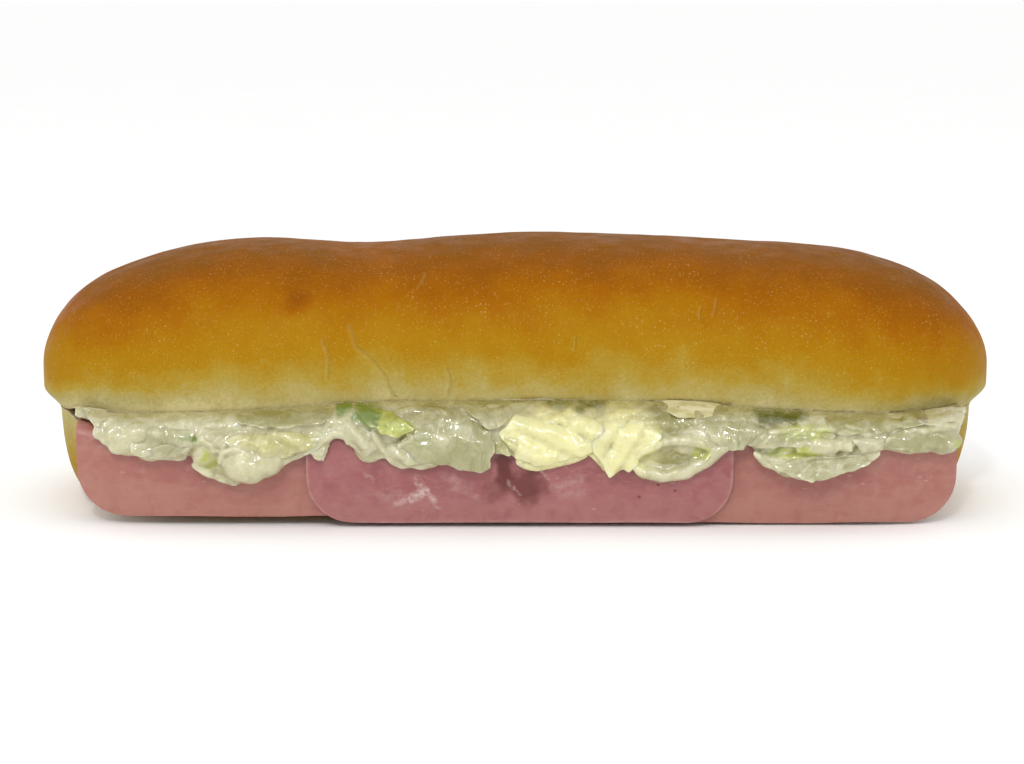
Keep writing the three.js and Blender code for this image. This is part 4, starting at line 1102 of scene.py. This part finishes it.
def addLeaf(bm, layers, spec, order):
    outline = spec["outline"]
    buried = layers is None  # the core of a leaf, that the dressing clings to
    middleX, middleZ = spec["at"]
    wide = max(x for x, z in outline) - min(x for x, z in outline)
    high = max(z for x, z in outline) - min(z for x, z in outline)
    rimColour, innerColour = leafFinish[spec["finish"]]
    depth, closeness, turn = spec["fold"]
    turn = math.radians(turn)
    cell = leaf["cell"] * (1.6 if buried else 1)
    for vert in addSlab(bm, max(4, round(wide / cell)), max(4, round(high / cell))):
        u, v, over = vert.co
        reach = max(abs(u), abs(v))
        angle = math.atan2(v * high, u * wide)
        rim = rimRadius(outline, angle) if reach > 0 else 0
        rim += leaf["ragged"] * wander((math.cos(angle) * rim, math.sin(angle) * rim, order), 1.5, order)
        rim -= leaf["film"] if buried else 0
        x, z = math.cos(angle) * rim * reach, math.sin(angle) * rim * reach
        along = (x * math.cos(turn) + z * math.sin(turn)) * closeness
        fold = depth * math.sin(along + order) + 0.35 * depth * math.sin(along * 2.3 + order * 2)
        ruffle = leaf["ruffle"] * reach ** 3 * math.sin(angle * 5 + order)
        crinkle = leaf["crinkle"] * wander((x, z, order), 2.2, order)
        thick = spec["thickness"] * (1 - 0.5 * reach ** 4)
        sink = spec["tilt"] * 2 * z / high + 1.3 * smoothstep(2 * z / high, 0.2, 1.0)
        lift = spec["out"] + spec["cup"] * (reach ** 2 - 0.5) + fold + ruffle + crinkle + (over - 0.6) * thick - sink
        px, pz = middleX + x, middleZ + z
        if buried:
            lift += 0.45 * wander((px, pz, 0), 3.0, 7) - 0.35
        else:
            bare = leaf["bare"].get(spec["finish"], 0)
            vert[layers[0]] = (*[lerp(a, b, 1 - reach ** 2) for a, b in zip(rimColour, innerColour)], 1 - bare)
            vert[layers[1]] = Vector((x * math.cos(turn) + z * math.sin(turn), z * math.cos(turn) - x * math.sin(turn), order))
        vert.co = underRoof(Vector((px, frontY(px, pz, faceOff(px, pz) + lift), pz)))


def makeLeaves():
    bm = bmesh.new()
    layers = bm.verts.layers.float_color.new("leafColour"), bm.verts.layers.float_vector.new("leafPlace")
    for order, spec in enumerate(leafPieces):
        addLeaf(bm, layers, spec, order)
    leaves = newObject("salad_leaves", bm, [makeLeafMaterial()])
    smooth = leaves.modifiers.new("supple", "SUBSURF")
    smooth.levels = smooth.render_levels = 1
    applyModifiers(leaves)
    noteHollows(leaves, 14, 0.4)
    noteTones(leaves)
    finishPiece(leaves, "salad")


makeDressing()
makeLeaves()
print("salad filled in")


# floor, light and camera

studio = {"floor": (0.975, 0.975, 0.97), "sky": 1.0, "keyPower": 2.0, "fillPower": 0.4,
          "glints": [((-0.1, -0.7, 0.55), 1.6), ((-0.5, -0.6, 0.36), 1.0), ((0.34, -0.66, 0.40), 1.0)]}  # place and power


def addSoftLight(name, place, size, power):
    lamp = bpy.data.lights.new(name, "AREA")
    lamp.shape, lamp.size, lamp.energy = "DISK", size, power
    holder = bpy.data.objects.new(name, lamp)
    holder.location = place
    holder.rotation_euler = (Vector((0, 0, 0.02)) - Vector(place)).to_track_quat("-Z", "Y").to_euler()
    bpy.context.scene.collection.objects.link(holder)
    return holder


def makeStage():
    bm = bmesh.new()
    bmesh.ops.create_grid(bm, x_segments=1, y_segments=1, size=400)
    bmesh.ops.translate(bm, vec=(0, 0, rollLow.z - 0.0002), verts=bm.verts)
    material, tree, shader, point = newMaterial("pale floor", {"Specular IOR Level": 0.2, "Roughness": 0.8})
    tone = fade(tree, noiseValue(tree, point, 60, 2), 0.3, 0.7)
    lighter = tuple(value + 0.01 for value in studio["floor"])
    tree.links.new(blendColours(tree, tone, studio["floor"], lighter), shader.inputs["Base Color"])
    floor = newObject("floor", bm, [material])
    addSoftLight("key", (-0.35, -0.85, 0.95), 0.9, studio["keyPower"])
    addSoftLight("fill", (0.9, -0.7, 0.45), 0.9, studio["fillPower"])
    for order, (place, power) in enumerate(studio["glints"]):
        lamp = addSoftLight("glint", place, 0.08, power)
        lamp.visible_diffuse = order == 0  # the others only show as wet glints
    world = bpy.data.worlds.new("studio")
    world.use_nodes = True
    world.node_tree.nodes["Background"].inputs[0].default_value = (1, 1, 1, 1)
    world.node_tree.nodes["Background"].inputs[1].default_value = studio["sky"]
    bpy.context.scene.world = world
    bpy.context.scene.view_settings.view_transform = "Standard"
    bpy.context.scene.view_settings.look = "None"


view = {"elevation": 10.0, "distance": 480.0, "target": (-1.0, 0.0, 24.5), "lens": 75.76}  # degrees, millimetres


def makeCamera():
    lens = bpy.data.cameras.new("camera")
    lens.lens, lens.sensor_width, lens.clip_start = view["lens"], 36, 0.01
    camera = bpy.data.objects.new("camera", lens)
    tilt = math.radians(view["elevation"])
    forward = Vector((0, math.cos(tilt), -math.sin(tilt)))
    camera.location = toFrame @ (Vector(view["target"]) - forward * view["distance"])
    camera.rotation_euler = forward.to_track_quat("-Z", "Y").to_euler()
    bpy.context.scene.collection.objects.link(camera)
    bpy.context.scene.camera = camera


makeStage()
makeCamera()
print("stage set")
